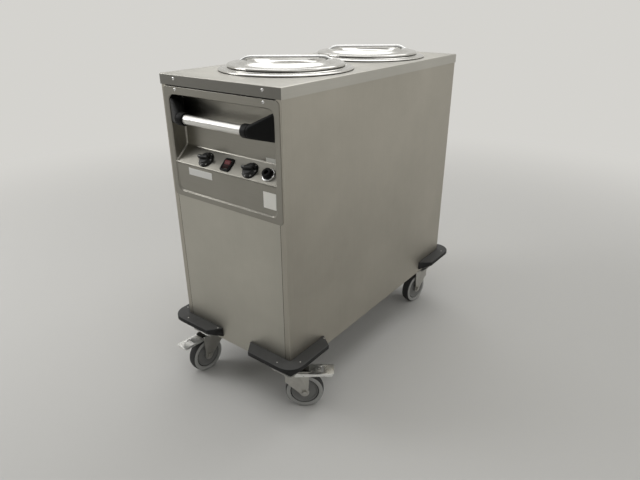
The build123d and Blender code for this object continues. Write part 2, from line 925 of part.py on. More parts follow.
for side, offset_x in {"left": -knob_spacing, "right": knob_spacing}.items():
    save(knob(offset_x), "knob_" + side)
    save(knob_spindle(offset_x), "knob_spindle_" + side)


# Rocker switch housing with its bezel
with BuildPart() as rocker_housing:
    with BuildSketch(console_plane):
        with Locations((0, fitting_height_on_console)):
            RectangleRounded(rocker_bezel_width, rocker_bezel_length, rocker_bezel_radius)
    extrude(amount=rocker_bezel_height)
    with BuildSketch(console_plane):
        with Locations((0, fitting_height_on_console)):
            Rectangle(rocker_width + 2 * rocker_housing_wall, rocker_length + 2 * rocker_housing_wall)
    extrude(amount=-rocker_housing_depth)
    with BuildSketch(console_plane.offset(rocker_bezel_height)):
        with Locations((0, fitting_height_on_console)):
            Rectangle(rocker_width + 2 * rocker_gap, rocker_length + 2 * rocker_gap)
    extrude(amount=-rocker_bezel_height - rocker_well_depth, mode=Mode.SUBTRACT)
save(rocker_housing.part, "rocker_housing")

# Rocker, tipped with its upper half raised
rocker_middle = console_plane.from_local_coords((0, fitting_height_on_console, 0))
rocker_lean = slope + math.radians(rocker_tilt)
rocker_end = rocker_length / 2 - rocker_end_gap
rocker_side = Plane(
    origin=rocker_middle,
    x_dir=(0, math.cos(rocker_lean), math.sin(rocker_lean)),
    z_dir=(1, 0, 0),
)
with BuildPart() as rocker_switch:
    with BuildSketch(rocker_side.offset(-rocker_width / 2)):
        with BuildLine():
            Polyline(
                (rocker_end, rocker_end_rise),
                (rocker_end, -rocker_end_drop),
                (rocker_keel_width / 2, -rocker_keel_drop),
                (-rocker_keel_width / 2, -rocker_keel_drop),
                (-rocker_end, -rocker_end_drop),
                (-rocker_end, rocker_end_rise),
            )
            ThreePointArc(
                (-rocker_end, rocker_end_rise), (0, rocker_middle_rise), (rocker_end, rocker_end_rise)
            )
        make_face()
    extrude(amount=rocker_width)
save(rocker_switch.part, "rocker_switch")


# Gland: threaded body through the console, bright ring nut and tapered sleeve
with BuildPart() as cable_gland:
    with BuildSketch(console_plane.offset(-gland_thread_length)):
        with Locations((gland_offset, fitting_height_on_console)):
            Circle(gland_thread_radius)
    extrude(amount=gland_thread_length)
    with BuildSketch(console_plane):
        with Locations((gland_offset, fitting_height_on_console)):
            Circle(gland_ring_radius)
    extrude(amount=gland_ring_height)
    with BuildSketch(console_plane.offset(gland_ring_height)):
        with Locations((gland_offset, fitting_height_on_console)):
            Circle(gland_radius)
    extrude(amount=gland_height - gland_ring_height, taper=gland_taper)
    with BuildSketch(console_plane.offset(gland_height)):
        with Locations((gland_offset, fitting_height_on_console)):
            Circle(gland_bore_radius)
    extrude(amount=gland_floor - gland_height, mode=Mode.SUBTRACT)
save(cable_gland.part, "cable_gland")


def bumper(side_x, side_y):
    """Corner bumper: level top, rounded corner, cut-off ends and an underside that rises outward."""
    x0, y0 = body_half_width, body_half_length
    x1, y1 = x0 + bumper_reach, y0 + bumper_reach
    xe, ye = x0 - bumper_leg, y0 - bumper_leg
    low = bumper_top - bumper_height
    rise = bumper_height - bumper_edge_height
    with BuildPart() as block:
        with BuildSketch(Plane.XY.offset(low)):
            with BuildLine():
                Polyline(
                    (side_x * x0, side_y * y0),
                    (side_x * xe, side_y * y0),
                    (side_x * (xe + bumper_end_chamfer), side_y * y1),
                    (side_x * (x1 - bumper_corner_radius), side_y * y1),
                )
                RadiusArc(
                    (side_x * (x1 - bumper_corner_radius), side_y * y1),
                    (side_x * x1, side_y * (y1 - bumper_corner_radius)),
                    bumper_corner_radius * (1 if side_x * side_y > 0 else -1),
                )
                Polyline(
                    (side_x * x1, side_y * (y1 - bumper_corner_radius)),
                    (side_x * x1, side_y * (ye + bumper_end_chamfer)),
                    (side_x * x0, side_y * ye),
                    (side_x * x0, side_y * y0),
                )
            make_face()
        extrude(amount=bumper_height)
        with BuildSketch(Plane.YZ):
            with BuildLine():
                Polyline(
                    (side_y * y0, low),
                    (side_y * (y1 + bumper_reach), low + 2 * rise),
                    (side_y * (y1 + bumper_reach), low),
                    close=True,
                )
            make_face()
        extrude(amount=2 * x1, both=True, mode=Mode.SUBTRACT)
        with BuildSketch(Plane.XZ):
            with BuildLine():
                Polyline(
                    (side_x * x0, low),
                    (side_x * (x1 + bumper_reach), low + 2 * rise),
                    (side_x * (x1 + bumper_reach), low),
                    close=True,
                )
            make_face()
        extrude(amount=2 * y1, both=True, mode=Mode.SUBTRACT)
        top_edges = block.edges().group_by(Axis.Z)[-1].filter_by(
            lambda edge: abs(edge.center().X) > x0 + cut_margin or abs(edge.center().Y) > y0 + cut_margin
        )
        fillet(top_edges, radius=bumper_top_radius)
    return block.part


for name_y, side_y in {"front": -1, "rear": 1}.items():
    for name_x, side_x in {"left": -1, "right": 1}.items():
        save(bumper(side_x, side_y), "bumper_" + name_y + "_" + name_x)


# Castor mounting plates with their swivel races
with BuildPart() as castor_plates:
    with BuildSketch(Plane.XY.offset(chassis_bottom)):
        with GridLocations(2 * castor_x, 2 * castor_y, 2, 2):
            RectangleRounded(castor_plate_width, castor_plate_length, castor_plate_radius)
            with GridLocations(castor_slot_spacing_x, castor_slot_spacing_y, 2, 2):
                SlotOverall(castor_slot_length, castor_slot_width, mode=Mode.SUBTRACT)
    extrude(amount=-castor_plate_sheet)
    with BuildSketch(Plane.XY.offset(chassis_bottom - castor_plate_sheet)):
        with GridLocations(2 * castor_x, 2 * castor_y, 2, 2):
            Circle(crown_radius + race_margin)
    extrude(amount=-race_height, taper=race_draft)
save(castor_plates.part, "castor_plates")


def castor_planes(x, y, heading):
    """Level plane at the swivel axis with X along the trail, and the upright plane through it."""
    ahead = Vector(math.cos(math.radians(heading)), math.sin(math.radians(heading)), 0)
    level = Plane(origin=(x, y, 0), x_dir=ahead, z_dir=(0, 0, 1))
    upright = Plane(origin=(x, y, 0), x_dir=ahead, z_dir=-level.y_dir)
    return level, upright


def wheel_centre(level):
    """Middle of the wheel: the trail behind the swivel axis, at the wheel's height."""
    return level.from_local_coords((castor_trail, 0, wheel_radius))


def castor_fork(x, y, heading):
    """Pressed fork: round crown with two legs that taper back to the axle."""
    level, upright = castor_planes(x, y, heading)
    with BuildPart() as fork:
        with BuildSketch(level.offset(crown_top)):
            Circle(crown_radius)
            Rectangle(fork_leg_width, 2 * fork_outer_half)
        extrude(amount=-crown_thickness)
        for side in (1, -1):
            with BuildSketch(upright.offset(side * (fork_outer_half - fork_sheet / 2) + fork_sheet / 2)):
                with Locations((0, crown_top - fork_leg_drop)):
                    Rectangle(fork_leg_width, fork_leg_height)
                with Locations((castor_trail, wheel_radius)):
                    Circle(hub_radius)
                make_hull()
                with Locations((castor_trail, wheel_radius)):
                    Circle(axle_radius, mode=Mode.SUBTRACT)
            extrude(amount=-fork_sheet)
    return fork.part


def axle_bolt(x, y, heading):
    """Axle bolt with a hexagon head on one side and a nut on the other."""
    upright = castor_planes(x, y, heading)[1]
    bolt_end = fork_outer_half + bolt_head_height
    with BuildPart() as bolt:
        with BuildSketch(upright.offset(-bolt_end)):
            with Locations((castor_trail, wheel_radius)):
                Circle(axle_radius)
        extrude(amount=2 * bolt_end)
        for shift in (-bolt_end, fork_outer_half):
            with BuildSketch(upright.offset(shift)):
                with Locations((castor_trail, wheel_radius)):
                    RegularPolygon(bolt_head_radius, 6)
            extrude(amount=bolt_head_height)
    return bolt.part


def castor_wheel(x, y, heading):
    """Wheel core with hub bosses and dished faces."""
    level = castor_planes(x, y, heading)[0]
    centre = wheel_centre(level)
    rim = wheel_radius - tyre_depth
    bore = axle_radius + running_clearance
    web = tyre_width / 2 - web_recess
    land = tyre_width / 2 - rim_recess
    across = Plane(origin=centre, x_dir=(0, 0, 1), z_dir=level.x_dir)
    with BuildPart() as wheel:
        with BuildSketch(across):
            with BuildLine():
                Polyline(
                    (bore, -hub_width / 2),
                    (hub_radius - hub_draft, -hub_width / 2),
                    (hub_radius, -web),
                    (rim - rim_land - rim_slope, -web),
                    (rim - rim_land, -land),
                    (rim, -land),
                    (rim, land),
                    (rim - rim_land, land),
                    (rim - rim_land - rim_slope, web),
                    (hub_radius, web),
                    (hub_radius - hub_draft, hub_width / 2),
                    (bore, hub_width / 2),
                    close=True,
                )
            make_face()
        revolve(axis=Axis(centre, level.y_dir))
    return wheel.part


def castor_tyre(x, y, heading):
    """Rubber tyre with a slightly crowned tread."""
    level = castor_planes(x, y, heading)[0]
    centre = wheel_centre(level)
    rim = wheel_radius - tyre_depth
    across = Plane(origin=centre, x_dir=(0, 0, 1), z_dir=level.x_dir)
    half = tyre_width / 2
    shoulder_radius = wheel_radius - tread_shoulder_drop
    side_radius = wheel_radius - tread_side_drop
    with BuildPart() as tyre:
        with BuildSketch(across):
            with BuildLine():
                Polyline(
                    (wheel_radius, tread_half_flat),
                    (wheel_radius, -tread_half_flat),
                    (shoulder_radius, -half + tread_shoulder_inset),
                    (side_radius, -half),
                    (rim, -half),
                    (rim, half),
                    (side_radius, half),
                    (shoulder_radius, half - tread_shoulder_inset),
                    close=True,
                )
            make_face()
        revolve(axis=Axis(centre, level.y_dir))
    return tyre.part


def brake_pedal(x, y, heading):
    """Brake lever: two side bars on the fork legs, a slotted tread plate and a brake shoe below it."""
    level, upright = castor_planes(x, y, heading)
    inner = fork_outer_half + pedal_gap
    outer = inner + fork_sheet
    plate_low = 2 * wheel_radius + pedal_tyre_gap
    bar_z = plate_low - pedal_bar_drop
    with BuildPart() as pedal:
        for shift in (inner, -outer):
            with BuildSketch(upright.offset(shift)):
                with Locations((pedal_pivot_x, crown_top - pedal_pivot_drop)):
                    Circle(pedal_eye_radius)
                with Locations((pedal_knee_x, bar_z)):
                    Circle(pedal_knee_radius)
                make_hull()
            extrude(amount=fork_sheet)
            with BuildSketch(upright.offset(shift)):
                with Locations((pedal_knee_x, bar_z)):
                    Circle(pedal_knee_radius)
                with Locations((pedal_reach - pedal_tip_inset, bar_z)):
                    Circle(pedal_tip_radius)
                make_hull()
            extrude(amount=fork_sheet)
        with BuildSketch(level.offset(plate_low)):
            with Locations(((pedal_plate_start + pedal_reach) / 2, 0)):
                RectangleRounded(pedal_reach - pedal_plate_start, 2 * outer, pedal_plate_radius)
            with Locations((pedal_slot_x, 0)):
                SlotOverall(pedal_slot_length, pedal_slot_width, rotation=90, mode=Mode.SUBTRACT)
        extrude(amount=pedal_plate_sheet)
        with BuildSketch(level.offset(plate_low)):
            with Locations((brake_shoe_x, 0)):
                Rectangle(brake_shoe_length, brake_shoe_width)
        extrude(amount=-brake_shoe_drop)
    return pedal.part


for name, (x, y, heading, braked) in castors.items():
    save(castor_fork(x, y, heading), "castor_fork_" + name)
    save(axle_bolt(x, y, heading), "axle_bolt_" + name)
    save(castor_wheel(x, y, heading), "wheel_core_" + name)
    save(castor_tyre(x, y, heading), "tyre_" + name)
    if braked:
        save(brake_pedal(x, y, heading), "brake_pedal_" + name)


def screw_heads(y, outward, height):
    """Two domed screw heads on an end face."""
    with BuildPart() as screws:
        for side in (-1, 1):
            plane = Plane(origin=(side * screw_offset, y, height), z_dir=(0, outward, 0))
            with BuildSketch(plane):
                Circle(screw_head_radius)
            extrude(amount=screw_head_height, taper=screw_head_draft)
    return screws.part


apron_front_screws = screw_heads(-top_length / 2, -1, top_height - apron_screw_drop)
apron_rear_screws = screw_heads(top_length / 2, 1, top_height - apron_screw_drop)
panel_front_screws = screw_heads(plate_face, -1, top_height - panel_screw_drop)
with BuildPart() as end_screws:
    add(apron_front_screws)
    add(apron_rear_screws)
    add(panel_front_screws)
save(end_screws.part, "end_screws")
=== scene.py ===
import json
import math

import bmesh
import bpy
import numpy as np
from mathutils import Matrix, Vector


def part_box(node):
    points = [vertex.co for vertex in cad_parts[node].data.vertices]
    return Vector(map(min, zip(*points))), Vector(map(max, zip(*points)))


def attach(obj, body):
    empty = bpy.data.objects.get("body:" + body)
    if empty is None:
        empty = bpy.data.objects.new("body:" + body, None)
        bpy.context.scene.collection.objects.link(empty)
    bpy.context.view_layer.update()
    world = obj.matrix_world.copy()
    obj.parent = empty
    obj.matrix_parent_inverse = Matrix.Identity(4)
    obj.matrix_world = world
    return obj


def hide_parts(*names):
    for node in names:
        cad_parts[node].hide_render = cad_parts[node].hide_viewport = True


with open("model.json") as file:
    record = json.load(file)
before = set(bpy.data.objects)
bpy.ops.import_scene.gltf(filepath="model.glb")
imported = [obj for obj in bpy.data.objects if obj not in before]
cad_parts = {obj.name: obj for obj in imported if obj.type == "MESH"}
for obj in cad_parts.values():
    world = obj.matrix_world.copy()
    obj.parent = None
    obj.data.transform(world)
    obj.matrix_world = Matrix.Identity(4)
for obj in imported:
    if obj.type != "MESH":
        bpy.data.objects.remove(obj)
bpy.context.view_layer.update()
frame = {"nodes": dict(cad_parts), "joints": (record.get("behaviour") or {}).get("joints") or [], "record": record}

# Twin-well heated plate dispenser: finish, rounded edges and small fittings. Metres, +Z up.
nodes = frame["nodes"]
slots = {entry["node"]: entry["material_slot"] for entry in frame["record"]["subparts"]}

# Main sizes, read from the solids where they are given there
plate_low, plate_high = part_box("top_plate")
panel_low, panel_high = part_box("control_panel")
top_z = plate_high.z
face_y = panel_low.y
half_width = plate_high.x
well_boxes = {p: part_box("collar_ring_" + p) for p in ("front", "rear")}
well_y = {p: (low.y + high.y) / 2 for p, (low, high) in well_boxes.items()}

# Recess of the instrument panel
opening_half = 0.205
opening_height = 0.292
opening_top = top_z - 0.057
opening_bottom = opening_top - opening_height
recess_depth = 0.050
console_rise = 0.0435
console_front = top_z - 0.2585
console_back = console_front + console_rise
set_back = 0.004
slope = math.atan2(console_rise, recess_depth)


class Value:
    """A shader socket; arithmetic on it adds Math nodes."""

    def __init__(self, finish, socket):
        self.finish = finish
        self.socket = socket

    def calc(self, operation, first, second):
        return self.finish.add("ShaderNodeMath", {"operation": operation}, {0: first, 1: second})

    def __add__(self, other):
        return self.calc("ADD", self, other)

    def __radd__(self, other):
        return self.calc("ADD", other, self)

    def __sub__(self, other):
        return self.calc("SUBTRACT", self, other)

    def __rsub__(self, other):
        return self.calc("SUBTRACT", other, self)

    def __mul__(self, other):
        return self.calc("MULTIPLY", self, other)

    def __rmul__(self, other):
        return self.calc("MULTIPLY", other, self)

    def power(self, exponent):
        return self.calc("POWER", self, exponent)

    def above(self, edge):
        return self.calc("GREATER_THAN", self, edge)


class Finish:
    """One procedural material: a Principled shader and the nodes that feed it."""

    def __init__(self, name, **sockets):
        self.material = bpy.data.materials.new(name)
        self.material.use_nodes = True
        self.tree = self.material.node_tree
        self.tree.nodes.clear()
        self.output = self.tree.nodes.new("ShaderNodeOutputMaterial")
        self.shader = self.tree.nodes.new("ShaderNodeBsdfPrincipled")
        self.tree.links.new(self.shader.outputs[0], self.output.inputs["Surface"])
        for key, value in sockets.items():
            self.feed(key.replace("_", " ").title().replace("Ior", "IOR"), value)

    def add(self, kind, settings=None, inputs=None, out=0):
        """Adds a node of any kind: its settings first, then the values or links of its sockets."""
        node = self.tree.nodes.new(kind)
        for key, value in (settings or {}).items():
            setattr(node, key, value)
        for key, value in (inputs or {}).items():
            if isinstance(value, Value):
                self.tree.links.new(value.socket, node.inputs[key])
            else:
                node.inputs[key].default_value = value
        return Value(self, node.outputs[out])

    def feed(self, socket, value):
        if isinstance(value, Value):
            self.tree.links.new(value.socket, self.shader.inputs[socket])
        else:
            self.shader.inputs[socket].default_value = value

    def place(self, scale=(1, 1, 1)):
        """Object coordinates, stretched along each axis."""
        coords = self.add("ShaderNodeTexCoord", out="Object")
        return self.add("ShaderNodeMapping", None, {"Vector": coords, "Scale": scale})

    def noise(self, scale=(1, 1, 1), size=1.0, detail=3.0, rough=0.5):
        place = self.place(scale)
        return self.add(
            "ShaderNodeTexNoise", None, {"Vector": place, "Scale": size, "Detail": detail, "Roughness": rough}
        )

    def tint(self, factor, low, high):
        """Mixes two colours by a factor."""
        return self.add(
            "ShaderNodeMix",
            {"data_type": "RGBA", "clamp_factor": True},
            {"Factor": factor, "A": (*low, 1.0), "B": (*high, 1.0)},
            out=2,
        )

    def bump(self, height, strength, distance):
        bumped = self.add(
            "ShaderNodeBump", None, {"Height": height, "Strength": strength, "Distance": distance}
        )
        self.feed("Normal", bumped)


def brushed_steel(name, low, high, grain, rough, smudge=0.12, front_painted_shade=1.0):
    """Sheet steel: fine grain lines along one axis, broad smudges in tone and gloss; the faces turned to the front
    may be darkened by a painted shade that stands in for a dark reflection."""
    steel = Finish(name, metallic=1.0)
    lines = steel.noise(grain, 1.0, 4.0, 0.65)
    cloud = steel.noise((1, 1, 1), 3.2, 4.0, 0.6)
    spots = steel.noise((1, 1, 1.6), 17.0, 3.0, 0.55)
    colour = steel.tint(lines * 0.35 + cloud.power(1.5) * 0.95, low, high)
    if front_painted_shade < 1.0:
        # Painted shade: faces turned to the front are multiplied darker, standing in for a dark reflection.
        normal = steel.add("ShaderNodeNewGeometry", out="True Normal")
        sideways = steel.add("ShaderNodeSeparateXYZ", None, {0: normal}, out=1)
        facing = (sideways * -1.0).above(0.8)
        colour = steel.add(
            "ShaderNodeMix",
            {"data_type": "RGBA", "blend_type": "MULTIPLY"},
            {"Factor": facing, "A": colour, "B": (front_painted_shade, front_painted_shade, front_painted_shade, 1.0)},
            2,
        )
    steel.feed("Base Color", colour)
    steel.feed("Roughness", rough - 0.05 + lines * 0.1 + cloud * smudge + spots * smudge * 0.4)
    steel.bump(lines, 0.10, 0.0004)
    return steel.material


def spun_steel(name, low, high, rough):
    """Polished or satin steel without grain lines: faint clouds in tone and in gloss."""
    steel = Finish(name, metallic=1.0)
    cloud = steel.noise((1, 1, 1), 9.0, 3.0, 0.5)
    fine = steel.noise((1, 1, 1), 160.0, 2.0, 0.6)
    steel.feed("Base Color", steel.tint(cloud, low, high))
    steel.feed("Roughness", rough + cloud * 0.07 + fine * 0.04)
    steel.bump(cloud, 0.06, 0.002)
    return steel.material


def zinc(name, low, high, rough):
    """Zinc-plated pressing: patchy grey with dull and bright areas."""
    plating = Finish(name, metallic=1.0)
    patches = plating.noise((1, 1, 1), 60.0, 4.0, 0.6)
    grit = plating.noise((1, 1, 1), 420.0, 2.0, 0.5)
    plating.feed("Base Color", plating.tint(patches, low, high))
    plating.feed("Roughness", rough + patches * 0.18 + grit * 0.05)
    plating.bump(grit, 0.08, 0.0003)
    return plating.material


def moulded(name, low, high, rough, grain=700.0, depth=0.15, shine=0.5, painted_shade_flank=None):
    """Moulded plastic or rubber: a fine leathery grain and faint scuffs; the sides may take a darker painted shade
    than the top.
    """
    plastic = Finish(name, specular_ior_level=shine)
    grit = plastic.noise((1, 1, 1), grain, 2.0, 0.6)
    scuffs = plastic.noise((1, 1, 1), 22.0, 5.0, 0.65)
    colour = plastic.tint(scuffs, low, high)
    # Painted shade: faces not turned upward take the darker colour.
    if painted_shade_flank:
        normal = plastic.add("ShaderNodeNewGeometry", out="True Normal")
        upward = plastic.add("ShaderNodeSeparateXYZ", None, {0: normal}, out=2)
        colour = plastic.add(
            "ShaderNodeMix", {"data_type": "RGBA"}, {"Factor": upward.above(0.55), "A": painted_shade_flank, "B": colour}, 2
        )
    plastic.feed("Base Color", colour)
    plastic.feed("Roughness", rough + scuffs * 0.14)
    plastic.bump(grit, depth, 0.0003)
    return plastic.material


# Grain of the brushed sheets: noise drawn out along the axis that its lines follow
grain_x, grain_y, grain_z = (5, 420, 420), (420, 5, 420), (420, 420, 5)
steel_side = brushed_steel("side_steel", (0.33, 0.312, 0.268), (0.51, 0.483, 0.424), grain_z, 0.33, 0.18)
steel_front = brushed_steel("front_steel", (0.37, 0.356, 0.315), (0.55, 0.532, 0.472), grain_z, 0.34, 0.18)
# The 0.42 darkens the top sheet's faces turned to the front: a painted dark reflection on the front apron.
steel_top = brushed_steel("top_steel", (0.40, 0.39, 0.355), (0.54, 0.525, 0.48), grain_y, 0.3, 0.15, 0.42)
# Painted shade: the instrument panel's steel is toned far darker than the other sheets, standing in for the shade
# and dark reflections in its recess.
steel_panel_painted_shade = brushed_steel("panel_steel_painted_shade", (0.23, 0.221, 0.195), (0.34, 0.328, 0.291), grain_x, 0.27)
steel_lid = spun_steel("lid_steel", (0.56, 0.55, 0.525), (0.68, 0.67, 0.64), 0.12)
steel_tube = spun_steel("tube_steel", (0.64, 0.635, 0.62), (0.76, 0.75, 0.74), 0.2)
handle_satin = spun_steel("handle_satin", (0.66, 0.65, 0.62), (0.76, 0.75, 0.72), 0.3)
steel_frame = zinc("frame_steel", (0.30, 0.30, 0.29), (0.42, 0.42, 0.41), 0.42)
zinc_fork = zinc("fork_zinc", (0.42, 0.41, 0.38), (0.55, 0.54, 0.51), 0.34)
zinc_bright = zinc("pedal_zinc", (0.74, 0.74, 0.72), (0.86, 0.86, 0.84), 0.18)
screw_steel = spun_steel("screw_steel", (0.68, 0.68, 0.67), (0.78, 0.78, 0.77), 0.16)
black_moulding = moulded("black_moulding", (0.003, 0.003, 0.003), (0.006, 0.006, 0.006), 0.42, shine=0.14)
knob_black = moulded("knob_black", (0.004, 0.004, 0.004), (0.008, 0.008, 0.008), 0.3, 900.0, 0.05, 0.35)
# Painted shade: the bumpers' sides are near black and their tops charcoal, though both are one rubber.
bumper_painted_shade = (0.006, 0.006, 0.006, 1.0)
bumper_grey = moulded(
    "bumper_grey", (0.034, 0.034, 0.034), (0.060, 0.060, 0.058), 0.6, 500.0, 0.3, 0.4, bumper_painted_shade
)
tyre_side = moulded("tyre_rubber", (0.27, 0.27, 0.26), (0.36, 0.36, 0.35), 0.6, 350.0, 0.2)
tread_dark = moulded("tread_rubber", (0.022, 0.022, 0.022), (0.04, 0.04, 0.04), 0.7, 350.0, 0.3)
core_grey = moulded("core_plastic", (0.14, 0.14, 0.135), (0.20, 0.20, 0.195), 0.5, 600.0, 0.12)
seal_black = moulded("seal_rubber", (0.006, 0.006, 0.006), (0.012, 0.012, 0.012), 0.6)
print_white = moulded("dial_print", (0.62, 0.62, 0.60), (0.72, 0.72, 0.70), 0.5, 900.0, 0.05)
label_white = moulded("bare_label", (0.80, 0.79, 0.74), (0.88, 0.87, 0.82), 0.45, 600.0, 0.08)
plate_silver = brushed_steel("plate_silver", (0.62, 0.62, 0.61), (0.72, 0.72, 0.71), grain_x, 0.3)
rocker_red = moulded("rocker_red", (0.12, 0.002, 0.004), (0.17, 0.004, 0.008), 0.3, 900.0, 0.02, 0.15)
# Painted shade: a darker copy of the rocker's red for its lower half, which faces away from the light.
rocker_painted_shade = moulded("rocker_painted_shade", (0.02, 0.004, 0.004), (0.03, 0.006, 0.006), 0.34, 900.0, 0.02, 0.15)


def mesh_object(name, vertices, faces, material):
    """Links a mesh object that sits at the origin."""
    mesh = bpy.data.meshes.new(name)
    mesh.from_pydata(np.asarray(vertices, float).reshape(-1, 3).tolist(), [], faces)
    mesh.polygons.foreach_set("use_smooth", [True] * len(mesh.polygons))
    mesh.materials.append(material)
    mesh.update()
    piece = bpy.data.objects.new(name, mesh)
    bpy.context.scene.collection.objects.link(piece)
    return piece


def grid_faces(rows, columns, wrap_columns):
    """Quads of a grid: each joins a point to its neighbours in the next row and column."""
    i = np.arange(rows - 1)
    j = np.arange(columns if wrap_columns else columns - 1)
    i, j = np.meshgrid(i, j, indexing="ij")
    k, m = i + 1, (j + 1) % columns
    quads = np.stack([i * columns + j, k * columns + j, k * columns + m, i * columns + m], -1)
    return quads.reshape(-1, 4)


def grid(name, points, material, wrap_columns=False, flip=False, caps=False):
    """A surface from an array of rows and columns of points, with its two end rows closed if asked."""
    rows, columns = points.shape[:2]
    quads = grid_faces(rows, columns, wrap_columns)
    faces = (quads[:, ::-1] if flip else quads).tolist()
    if caps:
        first = list(range(columns))
        last = list(range((rows - 1) * columns, rows * columns))
        faces += [first[::-1], last] if flip else [first, last[::-1]]
    return mesh_object(name, points, faces, material)


def turned(name, profile, origin, material, axis=(0, 0, 1), start=(1, 0, 0), segments=96):
    """Solid of revolution: each profile point (r, h) goes round the axis at radius r and height h."""
    axis = Vector(axis).normalized()
    start = Vector(start).normalized()
    side = axis.cross(start)
    angle = np.linspace(0, 2 * np.pi, segments, endpoint=False)
    r = np.array([p[0] for p in profile])[:, None, None]
    h = np.array([p[1] for p in profile])[:, None, None]
    round_it = np.cos(angle)[None, :, None] * np.array(start) + np.sin(angle)[None, :, None] * np.array(side)
    points = np.array(origin) + r * round_it + h * np.array(axis)
    piece = grid(name, points, material, wrap_columns=True, flip=True)
    tidy_mesh(piece)
    return piece


def tidy_mesh(piece, sharp=35.0):
    """Merges doubles, points the faces outwards and keeps edges sharper than the angle crisp."""
    work = bmesh.new()
    work.from_mesh(piece.data)
    bmesh.ops.remove_doubles(work, verts=work.verts, dist=1e-6)
    bmesh.ops.dissolve_degenerate(work, edges=work.edges, dist=1e-7)
    bmesh.ops.recalc_face_normals(work, faces=work.faces)
    for edge in work.edges:
        if len(edge.link_faces) == 2 and edge.calc_face_angle(0.0) > math.radians(sharp):
            edge.smooth = False
    work.to_mesh(piece.data)
    work.free()
    piece.data.update()


def rounded(points, radius, steps=5):
    """A polyline with its inner corners replaced by arcs: each corner becomes a quadratic curve
    between two points that lie the radius away from it on its two runs."""
    points = [np.array(p, float) for p in points]
    radii = radius if isinstance(radius, (list, tuple)) else [radius] * len(points)
    out = [points[0]]
    for before, corner, after, r in zip(points, points[1:], points[2:], radii[1:]):
        reach = min(r, np.linalg.norm(before - corner) * 0.49, np.linalg.norm(after - corner) * 0.49)
        a = corner + (before - corner) / max(np.linalg.norm(before - corner), 1e-9) * reach
        b = corner + (after - corner) / max(np.linalg.norm(after - corner), 1e-9) * reach
        t = np.linspace(0, 1, steps)[:, None]
        out += list((1 - t) ** 2 * a + 2 * t * (1 - t) * corner + t**2 * b)
    return np.array(out + [points[-1]])


def tube(name, path, radius, material, sides=20):
    """A round bar along a path: circles square to the path's direction, with closed ends."""
    path = np.asarray(path, float)
    ahead = np.gradient(path, axis=0)
    ahead /= np.linalg.norm(ahead, axis=1)[:, None]
    up = np.cross(ahead[len(ahead) // 2], [0.3, 0.2, 0.93])
    side = np.cross(ahead, np.cross(up, ahead))
    side /= np.linalg.norm(side, axis=1)[:, None]
    other = np.cross(ahead, side)
    angle = np.linspace(0, 2 * np.pi, sides, endpoint=False)[None, :, None]
    radius = np.broadcast_to(np.asarray(radius, float), len(path))[:, None, None]
    points = path[:, None] + radius * (np.cos(angle) * side[:, None] + np.sin(angle) * other[:, None])
    piece = grid(name, points, material, wrap_columns=True, caps=True)
    tidy_mesh(piece, 50.0)
    return piece


def softened(node, material, width):
    """A merged copy of a solid with its hard edges rounded, in place of the solid."""
    piece = nodes[node].copy()
    piece.data = nodes[node].data.copy()
    for key in list(piece.keys()):
        del piece[key]
    piece.name = node + "_finished"
    piece.parent = None
    bpy.context.scene.collection.objects.link(piece)
    work = bmesh.new()
    work.from_mesh(piece.data)
    bmesh.ops.remove_doubles(work, verts=work.verts, dist=2e-6)
    bmesh.ops.dissolve_limit(
        work, angle_limit=math.radians(1.0), verts=work.verts, edges=work.edges, use_dissolve_boundaries=False
    )
    for face in work.faces:
        face.smooth = True
    weight = work.edges.layers.float.new("bevel_weight_edge")
    for edge in work.edges:
        if len(edge.link_faces) == 2 and edge.calc_face_angle(0.0) > math.radians(40.0):
            edge[weight] = 1.0
    work.to_mesh(piece.data)
    work.free()
    piece.data.materials.clear()
    piece.data.materials.append(material)
    bevel = piece.modifiers.new("edges", "BEVEL")
    bevel.width = width
    bevel.segments = 3
    bevel.limit_method = "WEIGHT"
    bevel.harden_normals = True
    return stand_for(piece, body_name(node), node)


def body_name(node):
    """The body that a solid belongs to."""
    for body, members in frame["record"]["behaviour"]["bodies"].items():
        if node in members:
            return body


def dress(node, material):
    """Gives a solid its finish."""
    mesh = nodes[node].data
    for index in range(len(mesh.materials)):
        mesh.materials[index] = material
    if not mesh.materials:
        mesh.materials.append(material)


def joint(name):
    """The named joint of the frame."""
    return next(entry for entry in frame["joints"] if entry["name"] == name)


def stand_for(piece, body, *solids, slot=None):
    """Rides a new piece on its body and hides the solids that it stands for."""
    if solids:
        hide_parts(*solids)
    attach(piece, body)
    return piece


def rounded_outline(width, height, radius, corner=9, side=7):
    """Points of a rounded rectangle, anticlockwise: four arcs joined by straight runs, always as many."""
    radius = min(radius, width / 2 - 1e-6, height / 2 - 1e-6)
    turn = np.linspace(0, np.pi / 2, corner)
    runs = []
    for k, (sx, sy) in enumerate(((1, 1), (-1, 1), (-1, -1), (1, -1))):
        a = turn + k * np.pi / 2
        x = sx * (width / 2 - radius) + radius * np.cos(a)
        y = sy * (height / 2 - radius) + radius * np.sin(a)
        runs.append(np.stack([x, y], -1))
    loop = []
    for k in range(4):
        start, end = runs[k][-1], runs[(k + 1) % 4][0]
        t = np.linspace(0, 1, side + 2)[1:-1, None]
        loop += [runs[k], start + (end - start) * t]
    return np.concatenate(loop)


def stacked(name, rows, origin, across, up, material):
    """Rounded rectangles (width, height, radius, level) carried along the normal: each row is one
    outline, and the last is closed."""
    across, up = np.array(across, float), np.array(up, float)
    normal = np.cross(across, up)
    loops = []
    for width, height, radius, level in rows:
        flat = rounded_outline(width, height, radius)
        loops.append(np.array(origin) + flat[:, :1] * across + flat[:, 1:] * up + level * normal)
    points = np.array(loops)
    n, m = points.shape[:2]
    faces = grid_faces(n, m, True).tolist()
    faces.append(list(range((n - 1) * m, n * m)))
    piece = mesh_object(name, points, faces, material)
    tidy_mesh(piece)
    return piece


def joined(name, pieces):
    """One object from several, all with their places in their meshes."""
    bpy.ops.object.select_all(action="DESELECT")
    for piece in pieces:
        piece.select_set(True)
    bpy.context.view_layer.objects.active = pieces[0]
    bpy.ops.object.join()
    pieces[0].name = name
    return pieces[0]


